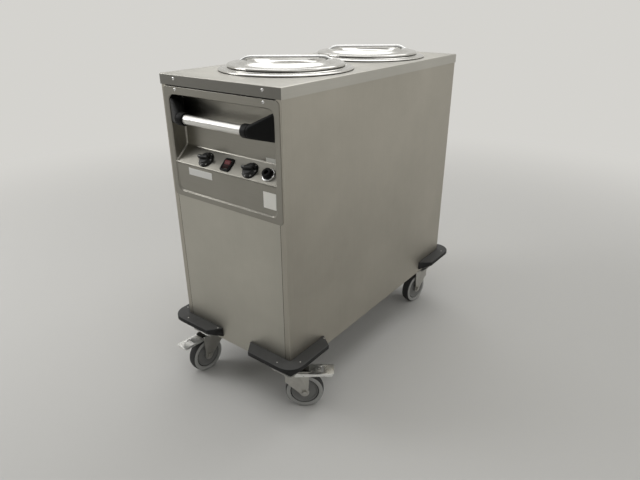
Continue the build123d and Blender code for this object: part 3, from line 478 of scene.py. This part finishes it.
def lettering(name, words, size, origin, across, up, material, depth):
    """Raised print: the outline of the words laid on a plane."""
    curve = bpy.data.curves.new(name, "FONT")
    curve.body = words
    curve.size = size
    curve.align_x = "CENTER"
    curve.align_y = "CENTER"
    curve.extrude = depth / 2
    curve.resolution_u = 3
    holder = bpy.data.objects.new(name, curve)
    bpy.context.scene.collection.objects.link(holder)
    bpy.context.view_layer.update()
    mesh = bpy.data.meshes.new_from_object(holder.evaluated_get(bpy.context.evaluated_depsgraph_get()))
    bpy.data.objects.remove(holder)
    flat = np.empty(len(mesh.vertices) * 3)
    mesh.vertices.foreach_get("co", flat)
    flat = flat.reshape(-1, 3)
    across, up = np.array(across, float), np.array(up, float)
    spots = np.array(origin) + flat[:, :1] * across + flat[:, 1:2] * up + flat[:, 2:] * np.cross(across, up)
    mesh.vertices.foreach_set("co", spots.ravel())
    mesh.materials.clear()
    mesh.materials.append(material)
    mesh.update()
    piece = bpy.data.objects.new(name, mesh)
    bpy.context.scene.collection.objects.link(piece)
    return piece


# Wells: collar, lid and bar handle of each; a profile's points are (radius, height)
gasket_top = top_z + 0.002
collar_profile = [
    (0.1630, top_z - 0.028),
    (0.1630, gasket_top + 0.0050),
    (0.1680, gasket_top + 0.0080),
    (0.1790, gasket_top + 0.0080),
    (0.1870, gasket_top + 0.0070),
    (0.1890, gasket_top + 0.0056),
    (0.1985, gasket_top + 0.0049),
    (0.2060, gasket_top + 0.0024),
    (0.2060, gasket_top),
    (0.1660, gasket_top),
    (0.1660, top_z - 0.028),
    (0.1630, top_z - 0.028),
]
collar_radii = [0, 0.003, 0.003, 0.004, 0.0015, 0.001, 0.006, 0.001, 0.0005, 0.001, 0.0005, 0]
lid_profile = [
    (0.0000, top_z + 0.0119),
    (0.1000, top_z + 0.0119),
    (0.1060, top_z + 0.0139),
    (0.1180, top_z + 0.0255),
    (0.1270, top_z + 0.0285),
    (0.1370, top_z + 0.0260),
    (0.1500, top_z + 0.0209),
    (0.1550, top_z + 0.0194),
    (0.1770, top_z + 0.0184),
    (0.1800, top_z + 0.0154),
    (0.1800, top_z + 0.0124),
    (0.1785, top_z + 0.0124),
    (0.1785, top_z + 0.0156),
    (0.1720, top_z + 0.0169),
    (0.1720, top_z + 0.0104),
    (0.1705, top_z + 0.0104),
    (0.1705, top_z + 0.0171),
    (0.1550, top_z + 0.0179),
    (0.1370, top_z + 0.0245),
    (0.1270, top_z + 0.0270),
    (0.1190, top_z + 0.0240),
    (0.1065, top_z + 0.0124),
    (0.1005, top_z + 0.0104),
    (0.0000, top_z + 0.0104),
]
lid_radii = [0, 0.002, 0.004, 0.006, 0.007, 0.005, 0.004, 0.003, 0.002, 0.0015]
lid_radii += [0.0005] * 7 + [0.002] * 6 + [0]
bar_points = (
    (-0.1385, 0.0105), (-0.1360, 0.0100), (-0.1170, 0), (0.1170, 0), (0.1360, 0.0100), (0.1385, 0.0105)
)
bar_turn = math.radians(38.0)
bar_across = Vector((math.cos(bar_turn), math.sin(bar_turn), 0))
bar_z = top_z + 0.0335
collar_line, lid_line = rounded(collar_profile, collar_radii), rounded(lid_profile, lid_radii)
for place, y in well_y.items():
    collar = turned("collar_" + place, collar_line, (0, y, 0), steel_lid, segments=128)
    stand_for(collar, "cabinet", "collar_ring_" + place)
    lid = turned("lid_" + place, lid_line, (0, y, 0), steel_lid, segments=160)
    stand_for(lid, "lid_" + place, "lid_shell_" + place)
    run = rounded(
        [
            Vector((0, y, bar_z)) + bar_across * reach - Vector((0, 0, drop))
            for reach, drop in bar_points
        ],
        [0, 0.004, 0.012, 0.012, 0.004, 0],
        8,
    )
    bar = tube("lid_bar_" + place, run, 0.0060, screw_steel, 24)
    stand_for(bar, "lid_" + place, "lid_handle_" + place)

# Top sheet: thickness, bend of its edge, inner corner, hole of each well, and where its halves meet
sheet, fold, inner_corner = 0.0015, 0.0025, 0.0015
hole_radius, halves_meet = 0.172, 0.018
flat_inset = 0.006
flat_half_x, flat_half_y = half_width - flat_inset, plate_high.y - flat_inset


def top_hole_patch(centre_y, end_y, split_y):
    """Flat sheet round one well: rays from the well's axis run from the hole to the edge of its half."""
    low_y, high_y = min(end_y, split_y), max(end_y, split_y)
    corners = [math.atan2(y - centre_y, x) for x in (-flat_half_x, flat_half_x) for y in (low_y, high_y)]
    angle = np.sort(np.concatenate([np.linspace(-np.pi, np.pi, 128, endpoint=False), corners]))
    ray_x, ray_y = np.cos(angle), np.sin(angle)
    reach_x = flat_half_x / np.maximum(np.abs(ray_x), 1e-9)
    reach_y = np.where(ray_y > 0, high_y - centre_y, centre_y - low_y) / np.maximum(np.abs(ray_y), 1e-9)
    reach = np.minimum(reach_x, reach_y)
    hole = np.full_like(reach, hole_radius)
    rows = [(hole, top_z - sheet), (hole, top_z - 0.0002), (hole + 0.0004, top_z), (reach, top_z)]
    points = np.array(
        [np.stack([r * ray_x, centre_y + r * ray_y, np.full_like(r, z)], -1) for r, z in rows]
    )
    return grid("top_half", points, steel_top, wrap_columns=True)


def edge_row(inset, z, radius):
    """One outline of the folded edge, inset from the plate's outer size."""
    flat = rounded_outline(2 * half_width - 2 * inset, 2 * plate_high.y - 2 * inset, radius)
    return np.stack([flat[:, 0], flat[:, 1], np.full(len(flat), z)], -1)


low_z = plate_low.z
edge_rows = [edge_row(sheet, top_z - sheet, inner_corner), edge_row(sheet, low_z, inner_corner)]
edge_rows += [edge_row(0.0, z, 0.003) for z in (low_z, low_z + 0.0004, top_z - fold - 0.0006)]
edge_rows += [
    edge_row(fold * (1 - math.cos(a)), top_z - fold * (1 - math.sin(a)), 0.003)
    for a in np.linspace(0, math.pi / 2, 7)
]
edge_rows += [edge_row(fold + 0.0006, top_z, 0.0025), edge_row(flat_inset, top_z, 0.0)]
apron = grid("top_apron", np.array(edge_rows), steel_top, wrap_columns=True)
halves = [
    top_hole_patch(well_y["front"], -flat_half_y, halves_meet),
    top_hole_patch(well_y["rear"], flat_half_y, halves_meet),
]
top_sheet = joined("top_sheet", [apron] + halves)
tidy_mesh(top_sheet, 50.0)
stand_for(top_sheet, "cabinet", "top_plate")

# Sheets and inside parts that keep their solids, and the seals below the collars
for node in ("side_panel_right", "side_panel_left"):
    dress(node, steel_side)
dress("lower_front_panel", steel_front)
dress("rear_panel", steel_side)
dress("base_pan", steel_frame)
dress("chassis_frame", steel_frame)
seal_profile = [
    (0.1760, top_z),
    (0.2054, top_z),
    (0.2058, top_z + 0.001),
    (0.2054, gasket_top),
    (0.1760, gasket_top),
    (0.1760, top_z),
]
seals = [turned("collar_seal", seal_profile, (0, y, 0), seal_black, segments=128) for y in well_y.values()]
stand_for(joined("collar_seals", seals), "cabinet", "collar_gaskets")
for node in ("guide_tube_front", "guide_tube_rear", "plate_platform_front", "plate_platform_rear"):
    dress(node, steel_tube)
for node in ("carriage_front", "carriage_rear", "lift_springs_front", "lift_springs_rear"):
    dress(node, zinc_fork)
for node in ("heater_elements", "terminal_box"):
    dress(node, steel_frame)
dress("thermostats", black_moulding)


# Instrument panel: flange, rolled opening edge, recess walls and the floor with the console
panel_middle_z = (panel_low.z + panel_high.z) / 2
opening_middle = (opening_top + opening_bottom) / 2


def floor_depth(z):
    """Depth of the recess at a height: full above the console, falling along it, then the set-back apron."""
    up_slope = (z - console_front) / (console_back - console_front)
    depth = np.where(z >= console_back, recess_depth, recess_depth * up_slope)
    return np.where(z < console_front, set_back * np.clip((console_front - z) / 0.003, 0, 1), depth)


def panel_walls():
    """Outlines carried inward: the flange, then a quarter circle over the edge, the wall down to the
    depth that the floor has at each height, and a quarter circle onto the floor."""
    outer = [
        (0.4500, 0.3320, 0.0120, 0.0015),
        (0.4500, 0.3320, 0.0120, 0.0009),
        (0.4496, 0.3316, 0.0119, 0.0003),
        (0.4488, 0.3308, 0.0115, 0.0),
        (0.4474, 0.3294, 0.0110, 0.0),
    ]
    loops = []
    for width, height, radius, depth in outer:
        flat = rounded_outline(width, height, radius, 12, 60)
        rise = np.where(flat[:, 1] > 0, 0.0011, 0.0)
        z = flat[:, 1] + panel_middle_z + rise
        loops.append(np.stack([flat[:, 0], np.full(len(flat), depth), z], -1))
    edge, foot = 0.004, 0.006

    def row(inset, fraction_edge, fraction_wall, fraction_foot):
        width, height = 2 * opening_half - 2 * inset, opening_height - 2 * inset
        flat = rounded_outline(width, height, 0.022 - inset * 0.5, 12, 60)
        z = flat[:, 1] + opening_middle
        depth = floor_depth(z)
        lip = np.minimum(edge, depth * 0.5)
        base = np.minimum(foot, depth * 0.5)
        wall = depth - lip - base
        y = lip * fraction_edge + wall * fraction_wall + base * fraction_foot
        return np.stack([flat[:, 0], y, z], -1)

    bend = np.linspace(0, np.pi / 2, 7)
    loops.append(row(-edge * 1.15, 0, 0, 0))
    for a in bend:
        loops.append(row(edge * (np.sin(a) - 1), 1 - np.cos(a), 0, 0))
    for part in (0.25, 0.5, 0.75):
        loops.append(row(0.0002 + 0.0008 * part, 1, part, 0))
    for a in bend:
        loops.append(row(0.001 + foot * (1 - np.cos(a)), 1, 1, np.sin(a)))
    points = np.array(loops)
    points[..., 1] += face_y
    return points


walls = grid("panel_frame", panel_walls(), steel_panel_painted_shade, wrap_columns=True)
tidy_mesh(walls, 60.0)

floor_line = rounded(
    [
        (recess_depth, opening_top - 0.004),
        (recess_depth, console_back),
        (0.0, console_front),
        (set_back, console_front - 0.0035),
        (set_back, opening_bottom + 0.0015),
    ],
    [0, 0.0045, 0.005, 0.002, 0],
    9,
)
floor_x = np.linspace(-0.2025, 0.2025, 28)
floor_points = np.zeros((len(floor_x), len(floor_line), 3))
floor_points[..., 0] = floor_x[:, None]
floor_points[..., 1] = face_y + floor_line[None, :, 0] - 0.00005
floor_points[..., 2] = floor_line[None, :, 1]
floor = grid("panel_floor", floor_points, steel_panel_painted_shade)
recess = joined("instrument_panel", [walls, floor])
tidy_mesh(recess, 50.0)
stand_for(recess, "cabinet", "control_panel")

# Console fittings; "up" runs up the slope, "out" stands square to it
up = np.array((0, math.cos(slope), math.sin(slope)))
out = np.array((0, -math.sin(slope), math.cos(slope)))
right = np.array((1.0, 0, 0))
console_zero = np.array((0, face_y, console_front))


def on_console(across, along=0.029, height=0.0):
    """A point of the console: so far across, up the slope and out from it."""
    return console_zero + right * across + up * along + out * height


knob_profile = rounded(
    [
        (0.0, 0.0006),
        (0.0247, 0.0006),
        (0.0255, 0.0014),
        (0.0255, 0.0034),
        (0.0206, 0.0074),
        (0.0182, 0.0078),
        (0.0176, 0.0108),
        (0.0164, 0.0118),
        (0.0, 0.0120),
    ],
    [0, 0.001, 0.001, 0.001, 0.002, 0.001, 0.001, 0.001, 0],
    4,
)
grip_turn = math.radians(8.0)
grip_across = right * math.cos(grip_turn) + up * math.sin(grip_turn)
grip_up = -right * math.sin(grip_turn) + up * math.cos(grip_turn)
for side, x in (("left", -0.09), ("right", 0.09)):
    cap = turned("knob_cap_" + side, knob_profile, on_console(x), knob_black, out, right, 72)
    rows = [(0.0420, 0.0110, 0.0054, 0.0060), (0.0405, 0.0096, 0.0047, 0.0184)]
    for a in np.linspace(0.1, math.pi / 2, 6):
        inset = 2 * 0.0030 * (1 - math.cos(a))
        rows.append((0.0404 - inset, 0.0095 - inset, 0.0046, 0.0186 + 0.0030 * math.sin(a)))
    grip = stacked("knob_grip_" + side, rows, on_console(x), grip_across, grip_up, knob_black)
    mark = stacked(
        "knob_mark_" + side,
        [(0.0085, 0.0012, 0.0003, 0.0213), (0.0085, 0.0012, 0.0003, 0.02175)],
        on_console(x) - grip_across * 0.0120,
        grip_across,
        grip_up,
        print_white,
    )
    pieces = [cap, grip, mark]
    for number, angle in zip(("30", "40", "50", "60", "70", "80", "90"), np.linspace(215, 505, 7)):
        a = math.radians(angle)
        outward = right * math.cos(a) + up * math.sin(a)
        tangent = -right * math.sin(a) + up * math.cos(a)
        fall = math.atan2(0.0040, 0.0046)
        digits_up = -outward * math.cos(fall) + out * math.sin(fall)
        spot = on_console(x) + outward * 0.02305 + out * 0.00555
        pieces.append(lettering("knob_number", number, 0.0048, spot, tangent, digits_up, print_white, 0.0006))
    knob = joined("dial_knob_" + side, pieces)
    stand_for(knob, "knob_" + side, "knob_" + side)
    dress("knob_spindle_" + side, screw_steel)

# Rocker switch: bezel, and the curved red rocker; its lower half is darker red, a painted shade where it faces
# away from the light
bezel_rows = [
    (0.0385, 0.0430, 0.0070, 0.0),
    (0.0385, 0.0430, 0.0070, 0.0020),
    (0.0372, 0.0417, 0.0068, 0.0033),
    (0.0350, 0.0395, 0.0060, 0.0040),
    (0.0262, 0.0312, 0.0014, 0.0040),
    (0.0250, 0.0300, 0.0010, 0.0034),
    (0.0238, 0.0288, 0.0008, -0.0040),
]
bezel = stacked("rocker_bezel", bezel_rows, on_console(0), right, up, black_moulding)
stand_for(bezel, "cabinet", "rocker_housing")
lean = slope + math.radians(8.0)
tip_up = np.array((0, math.cos(lean), math.sin(lean)))
tip_out = np.array((0, -math.sin(lean), math.cos(lean)))


def rocker_half(name, low, high, material):
    """Part of the rocker: across it is flat with a small lip at each side, along it a shallow hollow."""
    along = np.linspace(low, high, 14)
    rise = 0.004 + 0.002 * (along / 0.0125) ** 2
    edge = np.linspace(0, np.pi / 2, 5)
    lip_x = 0.0110 - 0.001 * (1 - np.sin(edge))
    lip_drop = 0.001 * np.cos(edge)
    x = np.concatenate([[-0.0110], -lip_x, np.linspace(-0.009, 0.009, 7), lip_x[::-1], [0.0110]])
    drop = np.concatenate([[0.006], lip_drop, np.zeros(7), lip_drop[::-1], [0.006]])
    points = (
        on_console(0)
        + x[:, None, None] * right
        + along[None, :, None] * tip_up
        + (rise[None, :, None] - drop[:, None, None]) * tip_out
    )
    front = points[:, :1] - 0.006 * tip_out
    back = points[:, -1:] - 0.006 * tip_out
    points = np.concatenate([front, points, back], 1)
    return grid(name, points, material, flip=True)


lit = rocker_half("rocker_lit", 0.0004, 0.0125, rocker_red)
# The lower half takes the darker red: painted shade.
painted_shade_half = rocker_half("rocker_painted_shade_half", -0.0125, -0.0004, rocker_painted_shade)
paddle = joined("rocker_paddle", [lit, painted_shade_half])
tidy_mesh(paddle, 50.0)
stand_for(paddle, "rocker", "rocker_switch")

# Gland: bright ring and stepped black nut with a blind bore
gland_place = on_console(0.160)
ring_profile = [(0.0112, 0.0), (0.0205, 0.0), (0.0205, 0.0022), (0.0192, 0.0036), (0.0112, 0.0036)]
nut_profile = [
    (0.0, 0.0020),
    (0.0170, 0.0020),
    (0.0168, 0.0060),
    (0.0150, 0.0064),
    (0.0142, 0.0150),
    (0.0130, 0.0162),
    (0.0070, 0.0162),
    (0.0064, 0.0150),
    (0.0064, 0.0060),
    (0.0, 0.0055),
]
ring = turned("gland_ring", rounded(ring_profile, 0.0009, 4), gland_place, screw_steel, out, right, 72)
nut = turned("gland_nut", rounded(nut_profile, 0.001, 4), gland_place, black_moulding, out, right, 72)
gland = joined("gland_fitting", [ring, nut])
stand_for(gland, "cabinet", "cable_gland")

# Push handle: satin tube between two flared black brackets
handle_low, handle_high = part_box("handle_tube")
handle_y = (handle_low.y + handle_high.y) / 2
handle_z = (handle_low.z + handle_high.z) / 2
grip = turned(
    "push_tube",
    [(0.0120, -0.130), (0.0140, -0.130), (0.0140, 0.130), (0.0120, 0.130), (0.0120, -0.130)],
    (0, handle_y, handle_z),
    handle_satin,
    (1, 0, 0),
    (0, 1, 0),
    64,
)
stand_for(grip, "cabinet", "handle_tube")


def bracket(name, side):
    """Rounded sections carried from the foot to the collar: each section's depth, height, corner and
    centre are read off straight lines between the stations, so the arm tapers to a groove and ends in
    a plain collar."""
    stations = np.array([0.2050, 0.2000, 0.1420, 0.1380, 0.1378, 0.1362, 0.1180, 0.1160])
    depth = np.array([0.047, 0.0465, 0.0375, 0.0360, 0.0350, 0.038, 0.038, 0.0362])
    height = np.array([0.080, 0.0780, 0.0395, 0.0365, 0.0350, 0.038, 0.038, 0.0362])
    corner = np.array([0.012, 0.0120, 0.0180, 0.0179, 0.0174, 0.0189, 0.0189, 0.0180])
    middle_y = np.array([face_y + 0.0255, face_y + 0.0235, handle_y + 0.001] + [handle_y] * 5)
    middle_z = np.array([top_z - 0.104, top_z - 0.104, handle_z + 0.0006] + [handle_z] * 5)
    collar_x = [0.140, 0.138, 0.1378, 0.1362, 0.1345, 0.118, 0.1165, 0.116]
    x = np.concatenate([[0.205, 0.2035], np.linspace(0.2, 0.142, 12), collar_x])
    curves = [np.interp(-x, -stations, c) for c in (depth, height, corner, middle_y, middle_z)]
    loops = []
    for place_x, w, h, r, y, z in zip(side * x, *curves):
        flat = rounded_outline(w, h, r, 9, 5)
        loops.append(np.stack([np.full(len(flat), place_x), flat[:, 0] + y, flat[:, 1] + z], -1))
    points = np.array(loops)
    piece = grid(name, points, black_moulding, wrap_columns=True, caps=True)
    tidy_mesh(piece, 60.0)
    return piece


stand_for(bracket("push_bracket_right", 1), "cabinet", "handle_bracket_right")
stand_for(bracket("push_bracket_left", -1), "cabinet", "handle_bracket_left")

# Bumpers with rounded edges and three screws each
for node in ("front_left", "front_right", "rear_left", "rear_right"):
    bumper_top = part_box("bumper_" + node)[1].z
    softened("bumper_" + node, bumper_grey, 0.0025)
    sx = -1 if "left" in node else 1
    sy = -1 if "front" in node else 1
    third = (0.0765, 0.5085) if sx * sy > 0 else (0.2435, 0.3415)
    for n, (x, y) in enumerate(((0.2050, 0.5270), (0.2600, 0.4830), third)):
        head = turned(
            "bumper_screw_%s_%d" % (node, n),
            rounded([(0.0, 0.0008), (0.0014, 0.0007), (0.0025, 0.0), (0.0025, -0.001)], 0.001, 4),
            (sx * x, sy * y, bumper_top),
            zinc_fork,
            segments=28,
        )
        stand_for(head, "cabinet", slot="stainless_polished")


def mirrored(half):
    """A closed outline from its half on the negative side: the half, its mirror image and the start."""
    return half + [(r, -h) for r, h in half[::-1]] + [half[0]]


# Castors: wheel profiles as (radius, place along the axle), and the cheeks of the forks
tyre_profile = mirrored([(0.0470, -0.0150), (0.0478, -0.0160), (0.0580, -0.0160), (0.0600, -0.0150)])
tread_profile = mirrored([(0.0590, -0.0152), (0.0602, -0.0146), (0.0615, -0.0110), (0.0625, -0.0050)])
groove_profile = mirrored([(0.0434, -0.0118), (0.0475, -0.0118)])
core_half = [(0.0061, -0.0180), (0.0130, -0.0180), (0.0150, -0.0080), (0.0365, -0.0080), (0.0415, -0.0135)]
core_profile = mirrored(core_half + [(0.0430, -0.0142), (0.0436, -0.0138), (0.0438, -0.0120)])
tyre_line, tread_line = rounded(tyre_profile, 0.0008, 3), rounded(tread_profile, 0.002, 4)
core_line = rounded(core_profile, 0.0015, 4)
trail_length, axle_height, cheek_end = 0.042, 0.0625, 0.0125
cheek_levels = (0.0198, 0.0223)
dress("castor_plates", zinc_fork)
for corner in ("front_right", "front_left", "rear_right", "rear_left"):
    softened("castor_fork_" + corner, zinc_fork, 0.0009)
    fork_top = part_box("castor_fork_" + corner)[1].z
    swivel = Vector(joint("swivel_" + corner)["pos_m"])
    dress("axle_bolt_" + corner, zinc_fork)
    low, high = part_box("wheel_core_" + corner)
    centre = (low + high) / 2
    axle = Vector(joint("spin_" + corner)["axis"]).normalized()
    start = axle.cross(Vector((0, 0, 1)))
    tyre = turned("tyre_ring_" + corner, tyre_line, centre, tyre_side, axle, start, 96)
    tread = turned("tread_" + corner, tread_line, centre, tread_dark, axle, start, 96)
    groove = turned("groove_" + corner, groove_profile, centre, tread_dark, axle, start, 96)
    rubber = joined("tyre_rubber_" + corner, [tyre, tread, groove])
    stand_for(rubber, "wheel_" + corner, "tyre_" + corner)
    core = turned("core_" + corner, core_line, centre, core_grey, axle, start, 72)
    stand_for(core, "wheel_" + corner, "wheel_core_" + corner)
    trail = Vector((centre.x - swivel.x, centre.y - swivel.y, 0)).normalized()
    round_end = np.linspace(-0.35, -np.pi + 0.75, 9)
    outline = [(-0.020, fork_top - 0.003), (-0.020, 0.106), (-0.004, 0.090)]
    outline += [
        (trail_length + cheek_end * math.cos(a), axle_height + cheek_end * math.sin(a))
        for a in round_end[::-1]
    ]
    outline += [(0.0555, 0.090), (0.0570, 0.104), (0.0570, fork_top - 0.003)]
    cheeks = []
    for side in (-1, 1):
        loops = [
            [swivel + trail * u + axle * (side * level) for u, z in outline] for level in cheek_levels
        ]
        points = np.array(loops)
        points[..., 2] = [z for u, z in outline]
        cheek = grid("fork_cheek", points, zinc_fork, wrap_columns=True, caps=True)
        tidy_mesh(cheek, 30.0)
        cheeks.append(cheek)
    fork = "castor_fork_" + corner
    stand_for(joined("fork_cheeks_" + corner, cheeks), body_name(fork), slot=slots[fork])
for corner in ("front_right", "front_left"):
    softened("brake_pedal_" + corner, zinc_bright, 0.0006)

# Screws of the end faces
screw_x = 0.172
for n, (sx, y, z, facing) in enumerate(
    [(s, -plate_high.y, top_z - 0.0115, -1) for s in (-1, 1)]
    + [(s, face_y, top_z - 0.0416, -1) for s in (-1, 1)]
    + [(s, plate_high.y, top_z - 0.0115, 1) for s in (-1, 1)]
):
    head = turned(
        "end_screw_%d" % n,
        rounded([(0.0, 0.0023), (0.0022, 0.0021), (0.0040, 0.0010), (0.0045, 0.0)], 0.001, 5),
        (sx * screw_x, y, z),
        screw_steel,
        (0, facing, 0),
        (1, 0, 0),
        36,
    )
    # Painted shade: the screw's slot is a thin black bar laid on the head, standing in for the shaded groove.
    slot = stacked(
        "end_screw_slot_%d" % n,
        [(0.0040, 0.0009, 0.0002, 0.0018), (0.0040, 0.0009, 0.0002, 0.00236)],
        (sx * screw_x, y, z),
        (facing * -1, 0, 0),
        (0, 0, 1),
        seal_black,
    )
    piece = joined("end_screw_%d" % n, [head, slot])
    stand_for(piece, "cabinet", *(["end_screws"] if n == 0 else []), slot="stainless_polished")

# Thin black strips in the real seams beside the end panels: painted shade of the gaps between the sheets
joints = []
seam_x, seam_y, seam_low = 0.21325, 0.4975, 0.1845
for sx in (-1, 1):
    for sy in (-1, 1):
        seam_top = (plate_low if sy > 0 else panel_low).z - 0.0005
        joints.append(
            stacked(
                "panel_seam_shade",
                [(0.0012, seam_top - seam_low, 0.0004, level) for level in (0.0, 0.0002)],
                (sx * seam_x, sy * seam_y, (seam_top + seam_low) / 2),
                (-sy, 0, 0),
                (0, 0, 1),
                seal_black,
            )
        )
stand_for(joined("panel_seam_shades", joints), "cabinet", slot="black_rubber")

# Bare rating plate and bare labels
apron_y, recess_y = face_y + set_back, face_y + recess_depth
radius = 0.001
plates = (
    ("rating_plate", (-0.152, -0.051), (top_z - 0.291, top_z - 0.270), apron_y, plate_silver),
    ("bare_label", (0.153, 0.200), (top_z - 0.328, top_z - 0.281), apron_y, label_white),
    ("bare_recess_label", (0.126, 0.163), (top_z - 0.227, top_z - 0.202), recess_y, label_white),
)
for name, (x0, x1), (z0, z1), y, material in plates:
    plate = stacked(
        name,
        [
            (x1 - x0, z1 - z0, radius, 0.0),
            (x1 - x0, z1 - z0, radius, 0.0004),
            (x1 - x0 - 0.0004, z1 - z0 - 0.0004, radius, 0.0006),
        ],
        ((x0 + x1) / 2, y, (z0 + z1) / 2),
        (1, 0, 0),
        (0, 0, 1),
        material,
    )
    stand_for(plate, "cabinet", slot="stainless_brushed")


# Floor, light and camera
def floor_finish():
    """Pale studio floor that takes shadows near the object and shows as an even pale sheet far from it."""
    finish = Finish("studio_floor", roughness=0.9)
    finish.feed("Base Color", (0.52, 0.515, 0.50, 1.0))
    reach = finish.add("ShaderNodeVectorMath", {"operation": "LENGTH"}, {0: finish.place()}, out="Value")
    camera_ray = finish.add("ShaderNodeLightPath", out="Is Camera Ray")
    ray = camera_ray + finish.add("ShaderNodeLightPath", out="Is Glossy Ray")
    wall = finish.add("ShaderNodeEmission", None, {"Color": (0.66, 0.65, 0.62, 1.0)})
    rise = finish.add(
        "ShaderNodeMapRange",
        {"interpolation_type": "SMOOTHSTEP"},
        {"Value": reach, "From Min": 1.3, "From Max": 3.6},
    )
    mixed = finish.add("ShaderNodeMixShader", None, {0: rise * ray})
    finish.tree.links.new(finish.shader.outputs[0], mixed.socket.node.inputs[1])
    finish.tree.links.new(wall.socket, mixed.socket.node.inputs[2])
    finish.tree.links.new(mixed.socket, finish.output.inputs["Surface"])
    return finish.material


def backdrop():
    """A wide sheet that runs level under the object and bends up behind it in a quarter circle."""
    bend = np.linspace(0, np.pi / 2, 24)
    back = 5.0
    radius = 2.0
    run = np.concatenate([[-40.0, 0.0], back + radius * np.sin(bend), [back + radius]])
    rise = np.concatenate([[0.0, 0.0], radius * (1 - np.cos(bend)), [9.0]])
    ahead = np.array((-0.6092, 0.7930, 0.0))
    side = np.array((0.7930, 0.6092, 0.0))
    wide = np.array([-40.0, 40.0])
    points = (
        run[:, None, None] * ahead + wide[None, :, None] * side + rise[:, None, None] * np.array((0, 0, 1.0))
    )
    return grid("studio_floor", points, floor_finish(), flip=True)


backdrop()


def lamp(name, place, target, size, power):
    """A soft rectangular lamp that faces its target."""
    light = bpy.data.lights.new(name, "AREA")
    light.shape = "RECTANGLE"
    light.size, light.size_y = size
    light.energy = power
    holder = bpy.data.objects.new(name, light)
    bpy.context.scene.collection.objects.link(holder)
    holder.location = place
    aim = Vector(target) - Vector(place)
    holder.rotation_euler = aim.to_track_quat("-Z", "Y").to_euler()


lamp("ceiling_front", (-0.9, -1.1, 3.4), (-0.9, -1.1, 0.0), (5.0, 1.7), 42)
lamp("ceiling_back", (-0.9, 2.1, 3.4), (-0.9, 2.0, 0.0), (5.0, 2.2), 66)
lamp("window_left", (-2.6, -1.9, 2.1), (0, -0.4, 0.8), (1.3, 1.1), 30)
lamp("fill_right", (3.2, -0.6, 2.2), (0, 0, 0.6), (3.0, 2.4), 14)

world = bpy.data.worlds.new("studio")
bpy.context.scene.world = world
world.use_nodes = True
sky = world.node_tree
surround = sky.nodes["Background"]
surround.inputs["Strength"].default_value = 1.0
coords = sky.nodes.new("ShaderNodeTexCoord")
aim = sky.nodes.new("ShaderNodeVectorMath")
aim.operation = "DOT_PRODUCT"
aim.inputs[1].default_value = (0.42, 0.78, 0.30)
sky.links.new(coords.outputs["Generated"], aim.inputs[0])
shade = sky.nodes.new("ShaderNodeMapRange")
shade.interpolation_type = "SMOOTHSTEP"
shade.inputs["From Min"].default_value = -0.65
shade.inputs["From Max"].default_value = 0.75
sky.links.new(aim.outputs["Value"], shade.inputs["Value"])
tone = sky.nodes.new("ShaderNodeMix")
tone.data_type = "RGBA"
tone.inputs["A"].default_value = (0.17, 0.17, 0.16, 1.0)
tone.inputs["B"].default_value = (0.62, 0.615, 0.59, 1.0)
sky.links.new(shade.outputs["Result"], tone.inputs["Factor"])
sky.links.new(tone.outputs["Result"], surround.inputs["Color"])

# Camera where the photograph was taken from
camera_place, focal_length = (1.1049, -1.4813, 1.2379), 29.77
yaw, pitch, roll = math.radians(-37.54), math.radians(24.69), math.radians(-0.29)
forward = Vector((math.sin(yaw) * math.cos(pitch), math.cos(yaw) * math.cos(pitch), -math.sin(pitch)))
level = Vector((math.cos(yaw), -math.sin(yaw), 0))
upright = level.cross(forward)
camera_right = level * math.cos(roll) + upright * math.sin(roll)
camera_up = -level * math.sin(roll) + upright * math.cos(roll)
lens = bpy.data.cameras.new("camera")
lens.lens = focal_length
lens.sensor_width = 36.0
lens.sensor_fit = "HORIZONTAL"
camera = bpy.data.objects.new("camera", lens)
bpy.context.scene.collection.objects.link(camera)
camera.matrix_world = Matrix.Translation(camera_place) @ Matrix(
    (camera_right, camera_up, -forward)
).transposed().to_4x4()
bpy.context.scene.camera = camera
bpy.context.scene.view_settings.view_transform = "Standard"
